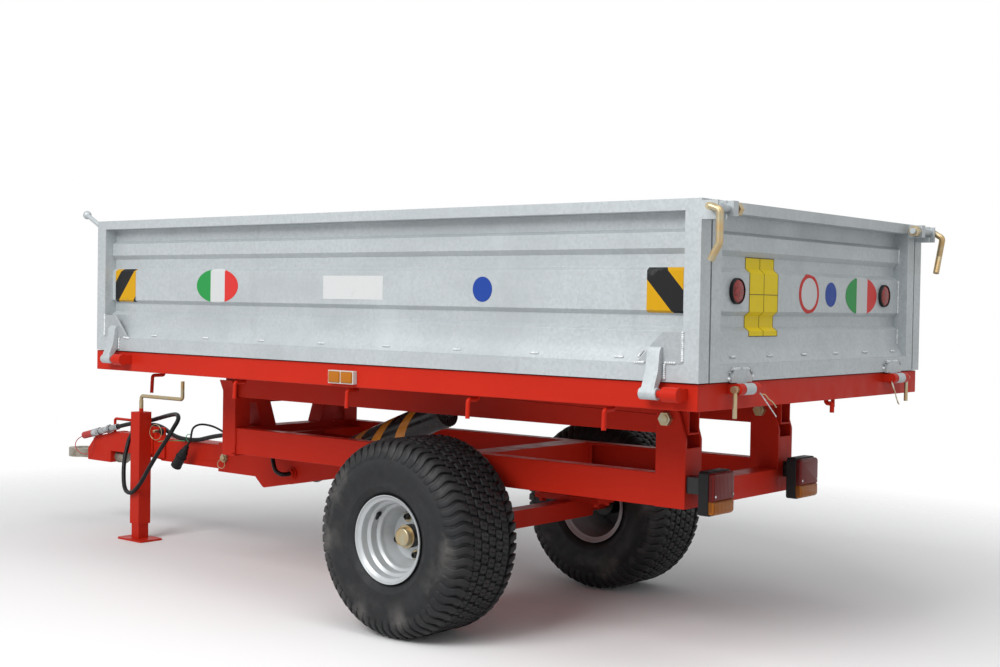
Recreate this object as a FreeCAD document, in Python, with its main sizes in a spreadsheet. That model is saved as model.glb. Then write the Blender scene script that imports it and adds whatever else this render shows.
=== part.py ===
import FreeCAD, Part
import math
import os

import Sketcher

# Tipping farm trailer: galvanised drop-side body on a red two-wheel chassis with a drawbar and a jack.
# Frame: +X points to the towing eye, +Y to the left and +Z up. The origin is on the ground under the
# middle of the whole trailer. All sizes are in millimetres and degrees.

SIZES = [
    ("front_reach", 3083, "rear face of the body to the tip of the towing eye"),
    ("rear_reach", 60, "latch handles behind the rear face of the body"),
    ("bed_length", 2130, "body over its end posts"),
    ("bed_width", 1132, "body over its side gates"),
    ("gate_height", 389, "height of the four walls"),
    ("frame_inset", 6, "floor frame's side rails inside the gates' faces"),
    ("frame_overhang", 7, "front end of the floor frame in front of the gates"),
    ("frame_wall", 5, "wall of the floor frame's channels"),
    ("frame_bottom", 632, "underside of the floor frame"),
    ("frame_height", 58, "depth of the floor frame"),
    ("frame_member", 50, "width of a floor frame rail"),
    ("floor_thickness", 3, "floor sheet"),
    ("post", 40, "square gate post"),
    ("post_wall", 3, "wall of the gates' posts and rails"),
    ("gate_gap", 2, "gap under and between the gates"),
    ("gate_top_rail", 25, "depth of a gate's top rail"),
    ("gate_bottom_rail", 38, "depth of a gate's bottom rail"),
    ("gusset_base", 117, "foot of the gusset in a side gate's lower corner"),
    ("gusset_head", 52, "top of the same gusset"),
    ("gusset_height", 68, "height of the same gusset"),
    ("sheet_wall", 2, "gate sheet"),
    ("sheet_high", 26, "outer flats of the sheet behind the post's face"),
    ("sheet_low", 38, "inner flats of the sheet behind the post's face"),
    ("side_axis_out", 24, "side hinge axis outside the gate's face"),
    ("side_axis_drop", 23, "side hinges' axis under the top of the floor frame"),
    ("barrel_radius", 13, "outside of a gate hinge barrel"),
    ("pin_radius", 8, "gate hinge pin"),
    ("hinge_gap", 0.1, "radial clearance of every pin in its bore"),
    ("side_barrel", 43, "length of a side hinge barrel"),
    ("side_barrel_rear", 84, "rear side barrel from the body's rear face"),
    ("side_barrel_front", 114, "front side barrel from the body's front face"),
    ("boss", 40, "length of the boss that carries a side hinge pin"),
    ("strap", 6, "thickness of hinge straps and tabs"),
    ("tail_axis_back", 18, "tailgate hinge axis behind the body's rear face"),
    ("tail_axis_drop", 14, "tailgate hinges' axis under the top of the floor frame"),
    ("tail_hinge_out", 394, "tailgate hinge from the middle"),
    ("tail_barrel", 42, "length of a tailgate hinge barrel"),
    ("tail_lug", 22, "length of a tailgate hinge knuckle"),
    ("bearer_width", 50, "width of a body bearer"),
    ("bearer_out", 252, "outer face of a body bearer from the middle"),
    ("bearer_height", 83, "height of the bearers under the floor frame"),
    ("bearer_front", 1902, "front end of the bearers from the rear face"),
    ("bearer_wall", 5, "wall of a bearer"),
    ("tip_axis", 270, "tipping axis from the body's rear face"),
    ("tip_rise", 36, "tipping axis over the underside of the bearers"),
    ("tip_bolt_radius", 10, "tipping bolt"),
    ("tip_bush_radius", 17, "bush in the bearer"),
    ("rail_out", 259, "outer face of a chassis rail from the middle"),
    ("rail_width", 40, "width of a chassis rail"),
    ("rail_bottom", 374, "underside of the chassis rails"),
    ("rail_height", 80, "depth of a chassis rail"),
    ("rail_wall", 6, "wall of a chassis rail"),
    ("chassis_rear", 216, "rear face of the rear uprights from the body's rear face"),
    ("upright_depth", 83, "rear upright fore and aft"),
    ("upright_out", 264, "outer face of an upright from the middle"),
    ("upright_plate", 8, "plate of an upright"),
    ("upright_box_drop", 68, "top of the uprights' boxes under the tipping axis"),
    ("upright_round", 30, "radius round the tipping bolt"),
    ("front_upright", 1841, "rear face of the front uprights from the body's rear face"),
    ("front_upright_depth", 60, "front upright fore and aft"),
    ("front_bar", 19, "thickness of the bar under the bearers"),
    ("bearer_gap", 0.3, "bearers over their bar at rest"),
    ("brace_width", 60, "width of a leaning post"),
    ("brace_foot", 125, "middle of a leaning post's foot from the middle"),
    ("brace_head", 150, "middle of a leaning post's head from the middle"),
    ("guide_height", 52, "top of the flared guide plates over the underside of the bearers"),
    ("guide_rise", 34, "flared part of a guide plate"),
    ("guide_flare", 14, "how far a guide plate flares out"),
    ("cross_depth", 60, "rear and front cross member fore and aft"),
    ("rear_cross_height", 60, "depth of the rear cross member"),
    ("middle_cross", 850, "middle cross member from the body's rear face"),
    ("middle_cross_depth", 80, "middle cross member fore and aft"),
    ("axle_set", 908, "wheel axis from the body's rear face"),
    ("axle_height", 254, "wheel axis over the ground"),
    ("axle_beam", 50, "square axle beam"),
    ("axle_beam_out", 300, "end of the axle beam from the middle"),
    ("axle_column", 100, "axle bracket fore and aft"),
    ("axle_flange", 230, "bolted flange of an axle bracket fore and aft"),
    ("flange_plate", 8, "thickness of a bolted flange"),
    ("stub_radius", 17.5, "stub axle"),
    ("stub_out", 484, "end of a stub axle from the middle"),
    ("wheel_out", 439, "middle of a wheel from the middle"),
    ("tyre_radius", 254, "tyre over its tread"),
    ("tyre_width", 254, "tyre over its walls"),
    ("bead_radius", 101.6, "rim under the bead of the tyre"),
    ("rim_width", 208, "rim between its flanges"),
    ("rim_flange", 16, "height of a rim flange over the bead"),
    ("rim_wall", 4, "rim sheet"),
    ("rim_curl", 5, "rolled edge of the rim beyond its flange"),
    ("rim_ledge", 16, "length of the seat of the bead"),
    ("rim_shelf", 26, "seat of the bead to the end of the next shelf"),
    ("rim_step", 10, "drop from one shelf of the rim to the next"),
    ("dish_radius", 62, "flat middle of the wheel disc"),
    ("dish_depth", 26, "dish of the wheel disc"),
    ("disc_set", 16, "inner face of the wheel disc from the wheel's middle"),
    ("hub_bore_radius", 30, "middle hole of the wheel disc"),
    ("hub_flange_radius", 66, "flange of the hub"),
    ("cap_radius", 24, "hub cap"),
    ("cap_out", 60, "face of the hub cap from the wheel's middle"),
    ("cradle_out", 60, "outer face of a cradle plate from the middle"),
    ("cradle_plate", 8, "thickness of a cradle plate"),
    ("cradle_rear", 1542, "rear end of the cradle from the body's rear face"),
    ("cradle_front", 2042, "front end of the cradle from the body's rear face"),
    ("cradle_drop", 59, "lowest edge of the cradle under the ram's lower pivot"),
    ("ram_base", 1800, "lower pivot of the ram from the body's rear face"),
    ("ram_base_height", 300, "lower pivot of the ram over the ground"),
    ("ram_head", 1060, "upper pivot of the ram from the body's rear face"),
    ("ram_head_drop", 42, "upper pivot of the ram under the floor frame"),
    ("ram_radius", 45, "barrel of the ram"),
    ("ram_rod_radius", 22, "rod of the ram"),
    ("ram_barrel", 640, "lower pivot to the end of the barrel"),
    ("ram_eye_radius", 30, "eye at either end of the ram"),
    ("ram_eye_width", 50, "width of a ram eye"),
    ("ram_pin_radius", 15, "pin at either end of the ram"),
    ("drawbar_bottom", 280, "underside of the drawbar"),
    ("drawbar_height", 80, "depth of the drawbar"),
    ("drawbar_width", 76, "width of the drawbar"),
    ("drawbar_wall", 6, "wall of the drawbar"),
    ("drawbar_front", 2505, "front end of the drawbar from the body's rear face"),
    ("sleeve_front", 2185, "front end of the drawbar sleeve from the body's rear face"),
    ("sleeve_wall", 8, "wall of the drawbar sleeve"),
    ("sleeve_pin", 2149, "drawbar pin from the body's rear face"),
    ("slide_fit", 0.5, "gap between the drawbar and its sleeve"),
    ("head_plate", 8, "thickness of a head plate"),
    ("head_top", 363, "top of the head plates"),
    ("head_front", 2943, "front end of the head from the body's rear face"),
    ("bush_rear", 2803, "rear end of the towing bush from the body's rear face"),
    ("bush_bottom", 249, "underside of the towing bush"),
    ("bush_top", 291, "top of the towing bush"),
    ("hanger_front", 2803, "front leg of the hose hanger from the body's rear face"),
    ("hanger_rear", 2702, "rear leg of the hose hanger from the body's rear face"),
    ("hanger_top", 408, "top of the hose hanger over the ground"),
    ("hanger_radius", 5, "rod of the hose hanger"),
    ("eye_height", 268, "towing eye over the ground"),
    ("eye_radius", 50, "outside of the towing eye"),
    ("eye_hole", 25, "hole of the towing eye"),
    ("eye_thickness", 32, "thickness of the towing eye"),
    ("shank_radius", 14, "shank of the towing eye"),
    ("jack_set", 2570, "jack from the body's rear face"),
    ("jack_out", 77, "jack from the middle"),
    ("jack_tube", 50, "square outer tube of the jack"),
    ("jack_bottom", 57, "lower end of the outer tube"),
    ("jack_top", 450, "upper end of the outer tube"),
    ("jack_wall", 4, "wall of the outer tube"),
    ("leg_tube", 41, "square inner leg of the jack"),
    ("foot_length", 140, "foot plate fore and aft"),
    ("foot_width", 94, "foot plate across"),
    ("foot_thickness", 6, "foot plate"),
    ("crank_height", 506, "crank arm over the ground"),
    ("crank_length", 230, "crank arm"),
    ("crank_grip", 62, "upright grip of the crank"),
    ("crank_radius", 6.5, "rod of the crank"),
    ("lamp_out", 215, "middle of a rear lamp from the middle"),
    ("lamp_rear", 137, "rear face of a lamp from the body's rear face"),
    ("lamp_depth", 40, "depth of a lamp housing"),
    ("lamp_width", 104, "width of a lamp"),
    ("lamp_height", 105, "height of a lamp"),
    ("lamp_middle", 416, "middle of a lamp over the ground"),
    ("lens", 14, "depth of a lamp lens"),
    ("latch_drop", 19, "axis of the top latch bolts under the top of the gates"),
    ("latch_bolt_radius", 8, "top latch bolt"),
    ("latch_plate", 6, "plate of a latch bracket"),
    ("latch_reach", 38, "latch bracket behind the body's rear face"),
    ("handle_radius", 8, "bent rod of a handle"),
    ("hook_radius", 5.5, "rod of a rope hook"),
    ("hose_radius", 7.5, "hydraulic hose"),
    ("cable_radius", 3.5, "electric cable"),
    ("plug_radius", 19, "electric plug"),
    ("plug_length", 97, "electric plug"),
]


class Size:
    """A value with the expression that gives it, so that a piece can be bound to the sheet."""

    def __init__(self, text, value):
        self.text = text
        self.value = value

    def __add__(self, other):
        return merge(self, "+", other, self.value + number(other))

    def __radd__(self, other):
        return merge(other, "+", self, number(other) + self.value)

    def __sub__(self, other):
        return merge(self, "-", other, self.value - number(other))

    def __rsub__(self, other):
        return merge(other, "-", self, number(other) - self.value)

    def __mul__(self, other):
        return merge(self, "*", other, self.value * number(other))

    def __rmul__(self, other):
        return merge(other, "*", self, number(other) * self.value)

    def __truediv__(self, other):
        return merge(self, "/", other, self.value / number(other))

    def __neg__(self):
        return merge(0, "-", self, -self.value)


def number(value):
    return value.value if isinstance(value, Size) else value


def text(value):
    return value.text if isinstance(value, Size) else repr(value)


def merge(left, sign, right, value):
    return Size("(" + text(left) + " " + sign + " " + text(right) + ")", value)


class Values:
    """The driving dimensions by name."""


doc = FreeCAD.newDocument("trailer")
sheet = doc.addObject("Spreadsheet::Sheet", "sizes")
d = Values()
for row, (alias, value, note) in enumerate(SIZES, 1):
    sheet.set("A%d" % row, note)
    sheet.set("B%d" % row, str(value))
    sheet.setAlias("B%d" % row, alias)
    setattr(d, alias, Size("sizes." + alias, value))
doc.recompute()


def bind(piece, name, value):
    if isinstance(value, Size):
        piece.setExpression(name, value.text)
    elif name.startswith("Placement.Base."):
        base = piece.Placement.Base
        setattr(base, name[-1], value)
        piece.Placement = FreeCAD.Placement(base, piece.Placement.Rotation)
    else:
        setattr(piece, name, value)


def place(piece, x, y, z, axis=None, angle=0):
    """Puts a piece at a point, turned about an axis through it."""
    if axis is not None:
        turn = FreeCAD.Rotation(FreeCAD.Vector(*axis), number(angle))
        piece.Placement = FreeCAD.Placement(FreeCAD.Vector(0, 0, 0), turn)
        if isinstance(angle, Size):
            piece.setExpression("Placement.Rotation.Angle", angle.text)
    bind(piece, "Placement.Base.x", x)
    bind(piece, "Placement.Base.y", y)
    bind(piece, "Placement.Base.z", z)
    return piece


def box(name, x, y, z):
    """A block between two ends on each axis."""
    piece = doc.addObject("Part::Box", name)
    bind(piece, "Length", x[1] - x[0])
    bind(piece, "Width", y[1] - y[0])
    bind(piece, "Height", z[1] - z[0])
    return place(piece, x[0], y[0], z[0])


def rod(name, x, y, z, radius):
    """A cylinder along the axis that is given by its two ends."""
    piece = doc.addObject("Part::Cylinder", name)
    bind(piece, "Radius", radius)
    if isinstance(x, tuple):
        bind(piece, "Height", x[1] - x[0])
        return place(piece, x[0], y, z, (0, 1, 0), 90)
    if isinstance(y, tuple):
        bind(piece, "Height", y[1] - y[0])
        return place(piece, x, y[0], z, (1, 0, 0), -90)
    bind(piece, "Height", z[1] - z[0])
    return place(piece, x, y, z[0])


def ball(name, x, y, z, radius):
    piece = doc.addObject("Part::Sphere", name)
    bind(piece, "Radius", radius)
    return place(piece, x, y, z)


def nut(name, x, y, z, across):
    """A hexagon nut or bolt head along the axis that is given by its two ends."""
    piece = doc.addObject("Part::Prism", name)
    piece.Polygon = 6
    bind(piece, "Circumradius", across / math.sqrt(3))
    if isinstance(x, tuple):
        bind(piece, "Height", x[1] - x[0])
        return place(piece, x[0], y, z, (0, 1, 0), 90)
    if isinstance(y, tuple):
        bind(piece, "Height", y[1] - y[0])
        return place(piece, x, y[0], z, (1, 0, 0), -90)
    bind(piece, "Height", z[1] - z[0])
    return place(piece, x, y, z[0])


def join(name, *pieces):
    piece = doc.addObject("Part::MultiFuse", name)
    piece.Shapes = list(pieces)
    return piece


def cut(name, base, *tools):
    piece = doc.addObject("Part::Cut", name)
    piece.Base = base
    piece.Tool = tools[0] if len(tools) == 1 else join(name + "_tools", *tools)
    return piece


def tube(name, x, y, z, wall, along):
    """A rectangular tube that is open at both ends, along x, y or z."""
    inner = {"x": x, "y": y, "z": z}
    for axis in inner:
        if axis != along:
            inner[axis] = (inner[axis][0] + wall, inner[axis][1] - wall)
    outside = box(name + "_outside", x, y, z)
    inside = box(name + "_inside", inner["x"], inner["y"], inner["z"])
    return cut(name, outside, inside)


def profile(name, plane, corners):
    """A closed sketch in a new body, bound to the sheet at each corner; a third value rounds it."""
    body = doc.addObject("PartDesign::Body", name)
    sketch = body.newObject("Sketcher::SketchObject", name + "_sketch")
    for feature in body.Origin.OriginFeatures:
        if feature.Role == plane + "_Plane":
            sketch.AttachmentSupport = (feature, "")
    sketch.MapMode = "FlatFace"
    count = len(corners)
    points = [FreeCAD.Vector(number(c[0]), number(c[1]), 0) for c in corners]
    starts = list(points)
    ends = list(points)
    arcs = {}
    for i, corner in enumerate(corners):
        if len(corner) < 3:
            continue
        back = (points[i - 1] - points[i]).normalize()
        ahead = (points[(i + 1) % count] - points[i]).normalize()
        half = math.acos(max(-1, min(1, back.dot(ahead)))) / 2
        radius = number(corner[2])
        reach = radius / math.tan(half)
        middle = points[i] + (back + ahead).normalize() * (radius / math.sin(half))
        ends[i] = points[i] + back * reach
        starts[i] = points[i] + ahead * reach
        first = ends[i] - middle
        second = starts[i] - middle
        turn = first.cross(second).z > 0
        a, b = (first, second) if turn else (second, first)
        circle = Part.Circle(middle, FreeCAD.Vector(0, 0, 1), radius)
        arcs[i] = (Part.ArcOfCircle(circle, math.atan2(a.y, a.x), math.atan2(b.y, b.x)), turn)
    lines = [sketch.addGeometry(Part.LineSegment(starts[i], ends[(i + 1) % count])) for i in range(count)]
    for i, corner in enumerate(corners):
        if i in arcs:
            arc = sketch.addGeometry(arcs[i][0])
            near, far = (1, 2) if arcs[i][1] else (2, 1)
            sketch.addConstraint(Sketcher.Constraint("Tangent", lines[i - 1], 2, arc, near))
            sketch.addConstraint(Sketcher.Constraint("Tangent", arc, far, lines[i], 1))
            index = sketch.addConstraint(Sketcher.Constraint("Radius", arc, number(corner[2])))
            if isinstance(corner[2], Size):
                sketch.setExpression("Constraints[%d]" % index, corner[2].text)
            holder = sketch.addGeometry(Part.Point(points[i]), True)
            sketch.addConstraint(Sketcher.Constraint("PointOnObject", holder, 1, lines[i - 1]))
            sketch.addConstraint(Sketcher.Constraint("PointOnObject", holder, 1, lines[i]))
        else:
            sketch.addConstraint(Sketcher.Constraint("Coincident", lines[i - 1], 2, lines[i], 1))
            holder = lines[i]
        for kind, value in (("DistanceX", corner[0]), ("DistanceY", corner[1])):
            index = sketch.addConstraint(Sketcher.Constraint(kind, holder, 1, number(value)))
            if isinstance(value, Size):
                sketch.setExpression("Constraints[%d]" % index, value.text)
    return body, sketch


def plate(name, plane, corners, span):
    """A pad of an outline between the two ends of a span across its plane."""
    body, sketch = profile(name, plane, corners)
    pad = body.newObject("PartDesign::Pad", name + "_pad")
    pad.Profile = sketch
    bind(pad, "Length", span[1] - span[0])
    if plane == "XZ":
        bind(body, "Placement.Base.y", span[1])
    elif plane == "YZ":
        bind(body, "Placement.Base.x", span[0])
    else:
        bind(body, "Placement.Base.z", span[0])
    return body


def turned(name, plane, corners, x, y, z):
    """A half section turned about the level axis of its plane."""
    body, sketch = profile(name, plane, corners)
    turn = body.newObject("PartDesign::Revolution", name + "_turn")
    turn.Profile = sketch
    turn.ReferenceAxis = (sketch, ["H_Axis"])
    turn.Angle = 360
    return place(body, x, y, z)


def bent_rod(name, points, radius, bend):
    """A round bar along straight runs joined by tangent arcs; radii of the arcs as a list or one value."""
    points = [FreeCAD.Vector(*[number(c) for c in point]) for point in points]
    edges = []
    here = points[0]
    radii = []
    for i in range(1, len(points) - 1):
        back = points[i - 1] - points[i]
        ahead = points[i + 1] - points[i]
        shorter = min(back.Length, ahead.Length)
        back.normalize()
        ahead.normalize()
        half = math.acos(max(-1, min(1, back.dot(ahead)))) / 2
        turn = bend if bend else 0.45 * shorter * math.tan(half)
        reach = turn / math.tan(half)
        radii.append(round(turn))
        centre = points[i] + (back + ahead).normalize() * (turn / math.sin(half))
        first = points[i] + back * reach
        last = points[i] + ahead * reach
        middle = centre + (points[i] - centre).normalize() * turn
        edges.append(Part.LineSegment(here, first).toShape())
        edges.append(Part.Arc(first, middle, last).toShape())
        here = last
    edges.append(Part.LineSegment(here, points[-1]).toShape())
    path = Part.Wire(edges)
    ring = Part.Circle(points[0], points[1] - points[0], number(radius)).toShape()
    shape = path.makePipeShell([Part.Wire([ring])], True, True)
    piece = doc.addObject("Part::Feature", name)
    piece.Shape = shape
    expected = math.pi * number(radius) ** 2 * path.Length
    if not bend:
        print("%-16s length %7.1f  volume %.4f of its section  radii %s" % (
            name, path.Length, shape.Volume / expected, radii))
    return piece


def mirrored(side, near, far):
    """A span across the trailer, given for the left side."""
    return (near, far) if side > 0 else (-far, -near)


NODES = []


def node(name, piece):
    piece.Label = name
    NODES.append(piece)
    return piece


# Places along the trailer count from the rear face of the body.
bed = -(d.front_reach - d.rear_reach) / 2
frame_top = d.frame_bottom + d.frame_height
gate_bottom = frame_top + d.gate_gap
gate_face = d.bed_width / 2
rail_top = d.rail_bottom + d.rail_height
frame_half = gate_face - d.frame_inset
bed_top = gate_bottom + d.gate_height
side_axis_height = frame_top - d.side_axis_drop
tail_axis_height = frame_top - d.tail_axis_drop
bearer_bottom = d.frame_bottom - d.bearer_height
guide_top = bearer_bottom + d.guide_height
tip_height = bearer_bottom + d.tip_rise
upright_box_top = tip_height - d.upright_box_drop
ram_head_height = d.frame_bottom - d.ram_head_drop
latch_height = bed_top - d.latch_drop
chassis_front = bed + d.front_upright + d.front_upright_depth
tip_x = bed + d.tip_axis
SIDES = (("left", 1), ("right", -1))


# The two rails are channels that open towards the middle, closed by a plate where a member meets them.
def chassis_rail(name, side):
    start = bed + d.chassis_rear + d.upright_depth
    end = bed + d.front_upright
    z = (d.rail_bottom, rail_top)
    outside = box(name + "_outside", (start, end), mirrored(side, d.rail_out - d.rail_width, d.rail_out), z)
    hollow = box(name + "_hollow", (start - 1, end + 1),
                 mirrored(side, d.rail_out - d.rail_width - 1, d.rail_out - d.rail_wall),
                 (d.rail_bottom + d.rail_wall, rail_top - d.rail_wall))
    plates = []
    for index, (first, last) in enumerate((
            (bed + d.middle_cross - 15, bed + d.middle_cross + d.middle_cross_depth + 15),
            (end - 150, end))):
        plates.append(box(name + "_boxing%d" % index, (first, last),
                          mirrored(side, d.rail_out - d.rail_width, d.rail_out - d.rail_width + d.rail_wall),
                          z))
    node(name, join(name, cut(name + "_channel", outside, hollow), *plates))


# A rear upright is a box below and a fork of two plates above, with the tipping bolt across the fork.
def rear_upright(name, side):
    rear = bed + d.chassis_rear
    front = rear + d.upright_depth
    inner = 2 * d.bearer_out - d.bearer_width - d.upright_out
    top = tip_height + d.upright_round
    outline = [(rear, d.rail_bottom), (front, d.rail_bottom), (front, upright_box_top + 40, 15),
               (tip_x + d.upright_round, top, d.upright_round - 2),
               (tip_x - d.upright_round, top, d.upright_round - 2),
               (rear, upright_box_top + 20, 15)]
    cheeks = []
    for index, near in enumerate((inner, d.upright_out - d.upright_plate)):
        span = mirrored(side, near, near + d.upright_plate)
        cheeks.append(plate(name + "_cheek%d" % index, "XZ", outline, span))
    inside = mirrored(side, inner + d.upright_plate, d.upright_out - d.upright_plate)
    z = (d.rail_bottom, upright_box_top)
    back = box(name + "_back", (rear, rear + d.upright_plate), inside, z)
    front_wall = box(name + "_front", (front - d.upright_plate, front), inside, z)
    bore = rod(name + "_bore", tip_x, mirrored(side, inner - 1, d.upright_out + 1), tip_height,
               d.tip_bolt_radius)
    node(name, cut(name, join(name + "_solid", back, front_wall, *cheeks), bore))


# The hexagon bolts that the whole body tips about.
def tip_bolt(side, word):
    inner = 2 * d.bearer_out - d.bearer_width - d.upright_out
    name = "tip_bolt_" + word
    shank = rod(name + "_shank", tip_x, mirrored(side, inner - 14, d.upright_out + 14), tip_height,
                d.tip_bolt_radius)
    head = nut(name + "_head", tip_x, mirrored(side, d.upright_out, d.upright_out + 12), tip_height,
               3 * d.tip_bolt_radius)
    lock = nut(name + "_nut", tip_x, mirrored(side, inner - 12, inner), tip_height,
               3 * d.tip_bolt_radius)
    return join(name, shank, head, lock)


def cross_members():
    inner = 2 * d.bearer_out - d.bearer_width - d.upright_out
    rear = bed + d.chassis_rear
    node("rear_cross_member", tube("rear_cross_member", (rear, rear + d.cross_depth), (-inner, inner),
                                   (d.rail_bottom, d.rail_bottom + d.rear_cross_height), 5, "y"))
    half = d.rail_out - d.rail_width
    middle = bed + d.middle_cross
    node("middle_cross_member", tube("middle_cross_member", (middle, middle + d.middle_cross_depth),
                                     (-half, half), (d.rail_bottom, rail_top), 5, "y"))
    front = bed + d.front_upright
    half = d.upright_out - d.front_upright_depth
    node("front_cross_member", tube("front_cross_member", (front, front + d.cross_depth),
                                    (-half, half), (rail_top - d.cross_depth, rail_top), 5, "y"))


# Two uprights, the bar that the bearers rest on, the leaning posts below it and the flared guides.
def front_support():
    front = bed + d.front_upright
    x = (front, front + d.front_upright_depth)
    bar_top = bearer_bottom - d.bearer_gap
    bar_bottom = bar_top - d.front_bar
    pieces = [box("front_bar", x, (-d.upright_out, d.upright_out), (bar_bottom, bar_top))]
    for word, side in SIDES:
        name = "front_upright_" + word
        pieces.append(box(name, x, mirrored(side, d.upright_out - d.front_upright_depth, d.upright_out),
                          (d.rail_bottom - 7, bar_bottom)))
        foot = side * d.brace_foot
        head = side * d.brace_head
        half = d.brace_width / 2
        pieces.append(plate("brace_" + word, "YZ", [(foot - half, rail_top), (foot + half, rail_top),
                                                   (head + half, bar_bottom), (head - half, bar_bottom)], x))
        knee = guide_top - d.guide_rise
        inner = side * (d.upright_out - 6)
        outer = side * d.upright_out
        flare = side * d.guide_flare
        pieces.append(plate("guide_" + word, "YZ", [(inner, bar_bottom), (outer, bar_bottom),
                                                   (outer, knee), (outer + flare, guide_top),
                                                   (inner + flare, guide_top), (inner, knee)],
                            x))
    node("front_support", join("front_support", *pieces))


# The axle beam with its stubs, hung under the rails by two columns with bolted flanges.
def axle():
    x = bed + d.axle_set
    half = d.axle_beam / 2
    beam_top = d.axle_height + half
    beam = box("axle_beam_bar", (x - half, x + half), (-d.axle_beam_out, d.axle_beam_out),
               (d.axle_height - half, beam_top))
    pieces = [beam]
    for word, side in SIDES:
        middle = d.rail_out - d.rail_width / 2
        y = mirrored(side, middle - 40, middle + 40)
        flange = (x - d.axle_flange / 2, x + d.axle_flange / 2)
        pieces.append(rod("stub_" + word, x, mirrored(side, d.axle_beam_out, d.stub_out), d.axle_height,
                          d.stub_radius))
        pieces.append(box("axle_flange_" + word, flange, y, (beam_top, beam_top + 2 * d.flange_plate)))
        pieces.append(box("axle_column_" + word, (x - d.axle_column / 2, x + d.axle_column / 2),
                          mirrored(side, d.rail_out - d.rail_width, d.rail_out),
                          (beam_top + 2 * d.flange_plate, d.rail_bottom)))
        for end in (-1, 1):
            for row in (-1, 1):
                pieces.append(nut("flange_bolt_%s%d%d" % (word, end, row),
                                  x + end * (d.axle_flange / 2 - 20), side * middle + row * 28,
                                  (beam_top - 10, beam_top + 2 * d.flange_plate + 10), 19))
    node("axle_beam", join("axle_beam", *pieces))


# A wide turf tyre on a deep dished rim.
def wheel(word, side):
    x = bed + d.axle_set
    y = side * d.wheel_out
    z = d.axle_height
    wall = d.tyre_width / 2
    seat = d.rim_width / 2
    bead = d.bead_radius
    crown = d.tyre_radius
    inset = 11
    clear = bead + d.rim_flange + 1
    carcass = [(-seat, bead), (-seat, clear), (-seat - 9, clear + 10), (-wall, bead + 84, 50), (-wall + 10, crown, 24),
               (wall - 10, crown, 24), (wall, bead + 84, 50),
               (seat + 9, clear + 10), (seat, clear), (seat, bead),
               (seat - 14, bead), (seat - 6, bead + 22), (wall - inset, bead + 84, 40),
               (wall - 22, crown - 20, 14), (-wall + 22, crown - 20, 14), (-wall + inset, bead + 84, 40),
               (-seat + 6, bead + 22), (-seat + 14, bead)]
    node("tyre_" + word, turned("tyre_" + word, "YZ", carcass, x, y, z))
    lip = bead + d.rim_flange
    thick = d.rim_wall
    out = side * (d.disc_set + thick)
    back = side * d.disc_set
    s = side
    bowl = bead - thick
    shelf = bowl - d.rim_step
    well = shelf - d.rim_step
    first = seat - d.rim_ledge
    second = first - d.rim_shelf
    slope = 6
    rolled = seat + thick + d.rim_curl
    rim = [(-s * seat, bead), (-s * seat, lip, 3), (-s * rolled, lip, 3), (-s * rolled, lip - thick),
           (-s * (seat + thick), lip - thick, 2), (-s * (seat + thick), bowl, 3), (-s * first, bowl, 3),
           (-s * (first - slope), shelf, 3), (-s * second, shelf, 3), (-s * (second - slope), well, 3),
           (back + s * d.dish_depth, well), (back, d.dish_radius), (back, d.hub_bore_radius),
           (out, d.hub_bore_radius), (out, d.dish_radius - 2, 6), (out + s * d.dish_depth, well, 6),
           (s * (second - slope), well, 3), (s * second, shelf, 3), (s * (first - slope), shelf, 3),
           (s * first, bowl, 3), (s * (seat + thick), bowl, 3), (s * (seat + thick), lip - thick, 2),
           (s * rolled, lip - thick), (s * rolled, lip, 3), (s * seat, lip, 3), (s * seat, bead),
           (s * (first - 2), bead), (s * (first - slope - 2), shelf + thick), (s * (second - 2), shelf + thick),
           (s * (second - slope - 2), well + thick), (-s * (second - slope - 2), well + thick),
           (-s * (second - 2), shelf + thick), (-s * (first - slope - 2), shelf + thick), (-s * (first - 2), bead)]
    node("rim_" + word, turned("rim_" + word, "YZ", rim, x, y, z))
    bore = d.stub_radius + d.hinge_gap
    hub = [(-s * 52, bore), (-s * 52, 36), (back - s * 8, 36), (back - s * 8, d.hub_flange_radius),
           (back, d.hub_flange_radius), (back, d.hub_bore_radius), (s * 44, d.hub_bore_radius),
           (s * 44, d.cap_radius), (s * d.cap_out, d.cap_radius, 5), (s * d.cap_out, 0),
           (s * (d.cap_out - 3), 0), (s * (d.cap_out - 3), bore)]
    node("hub_" + word, turned("hub_" + word, "YZ", hub, x, y, z))


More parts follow.
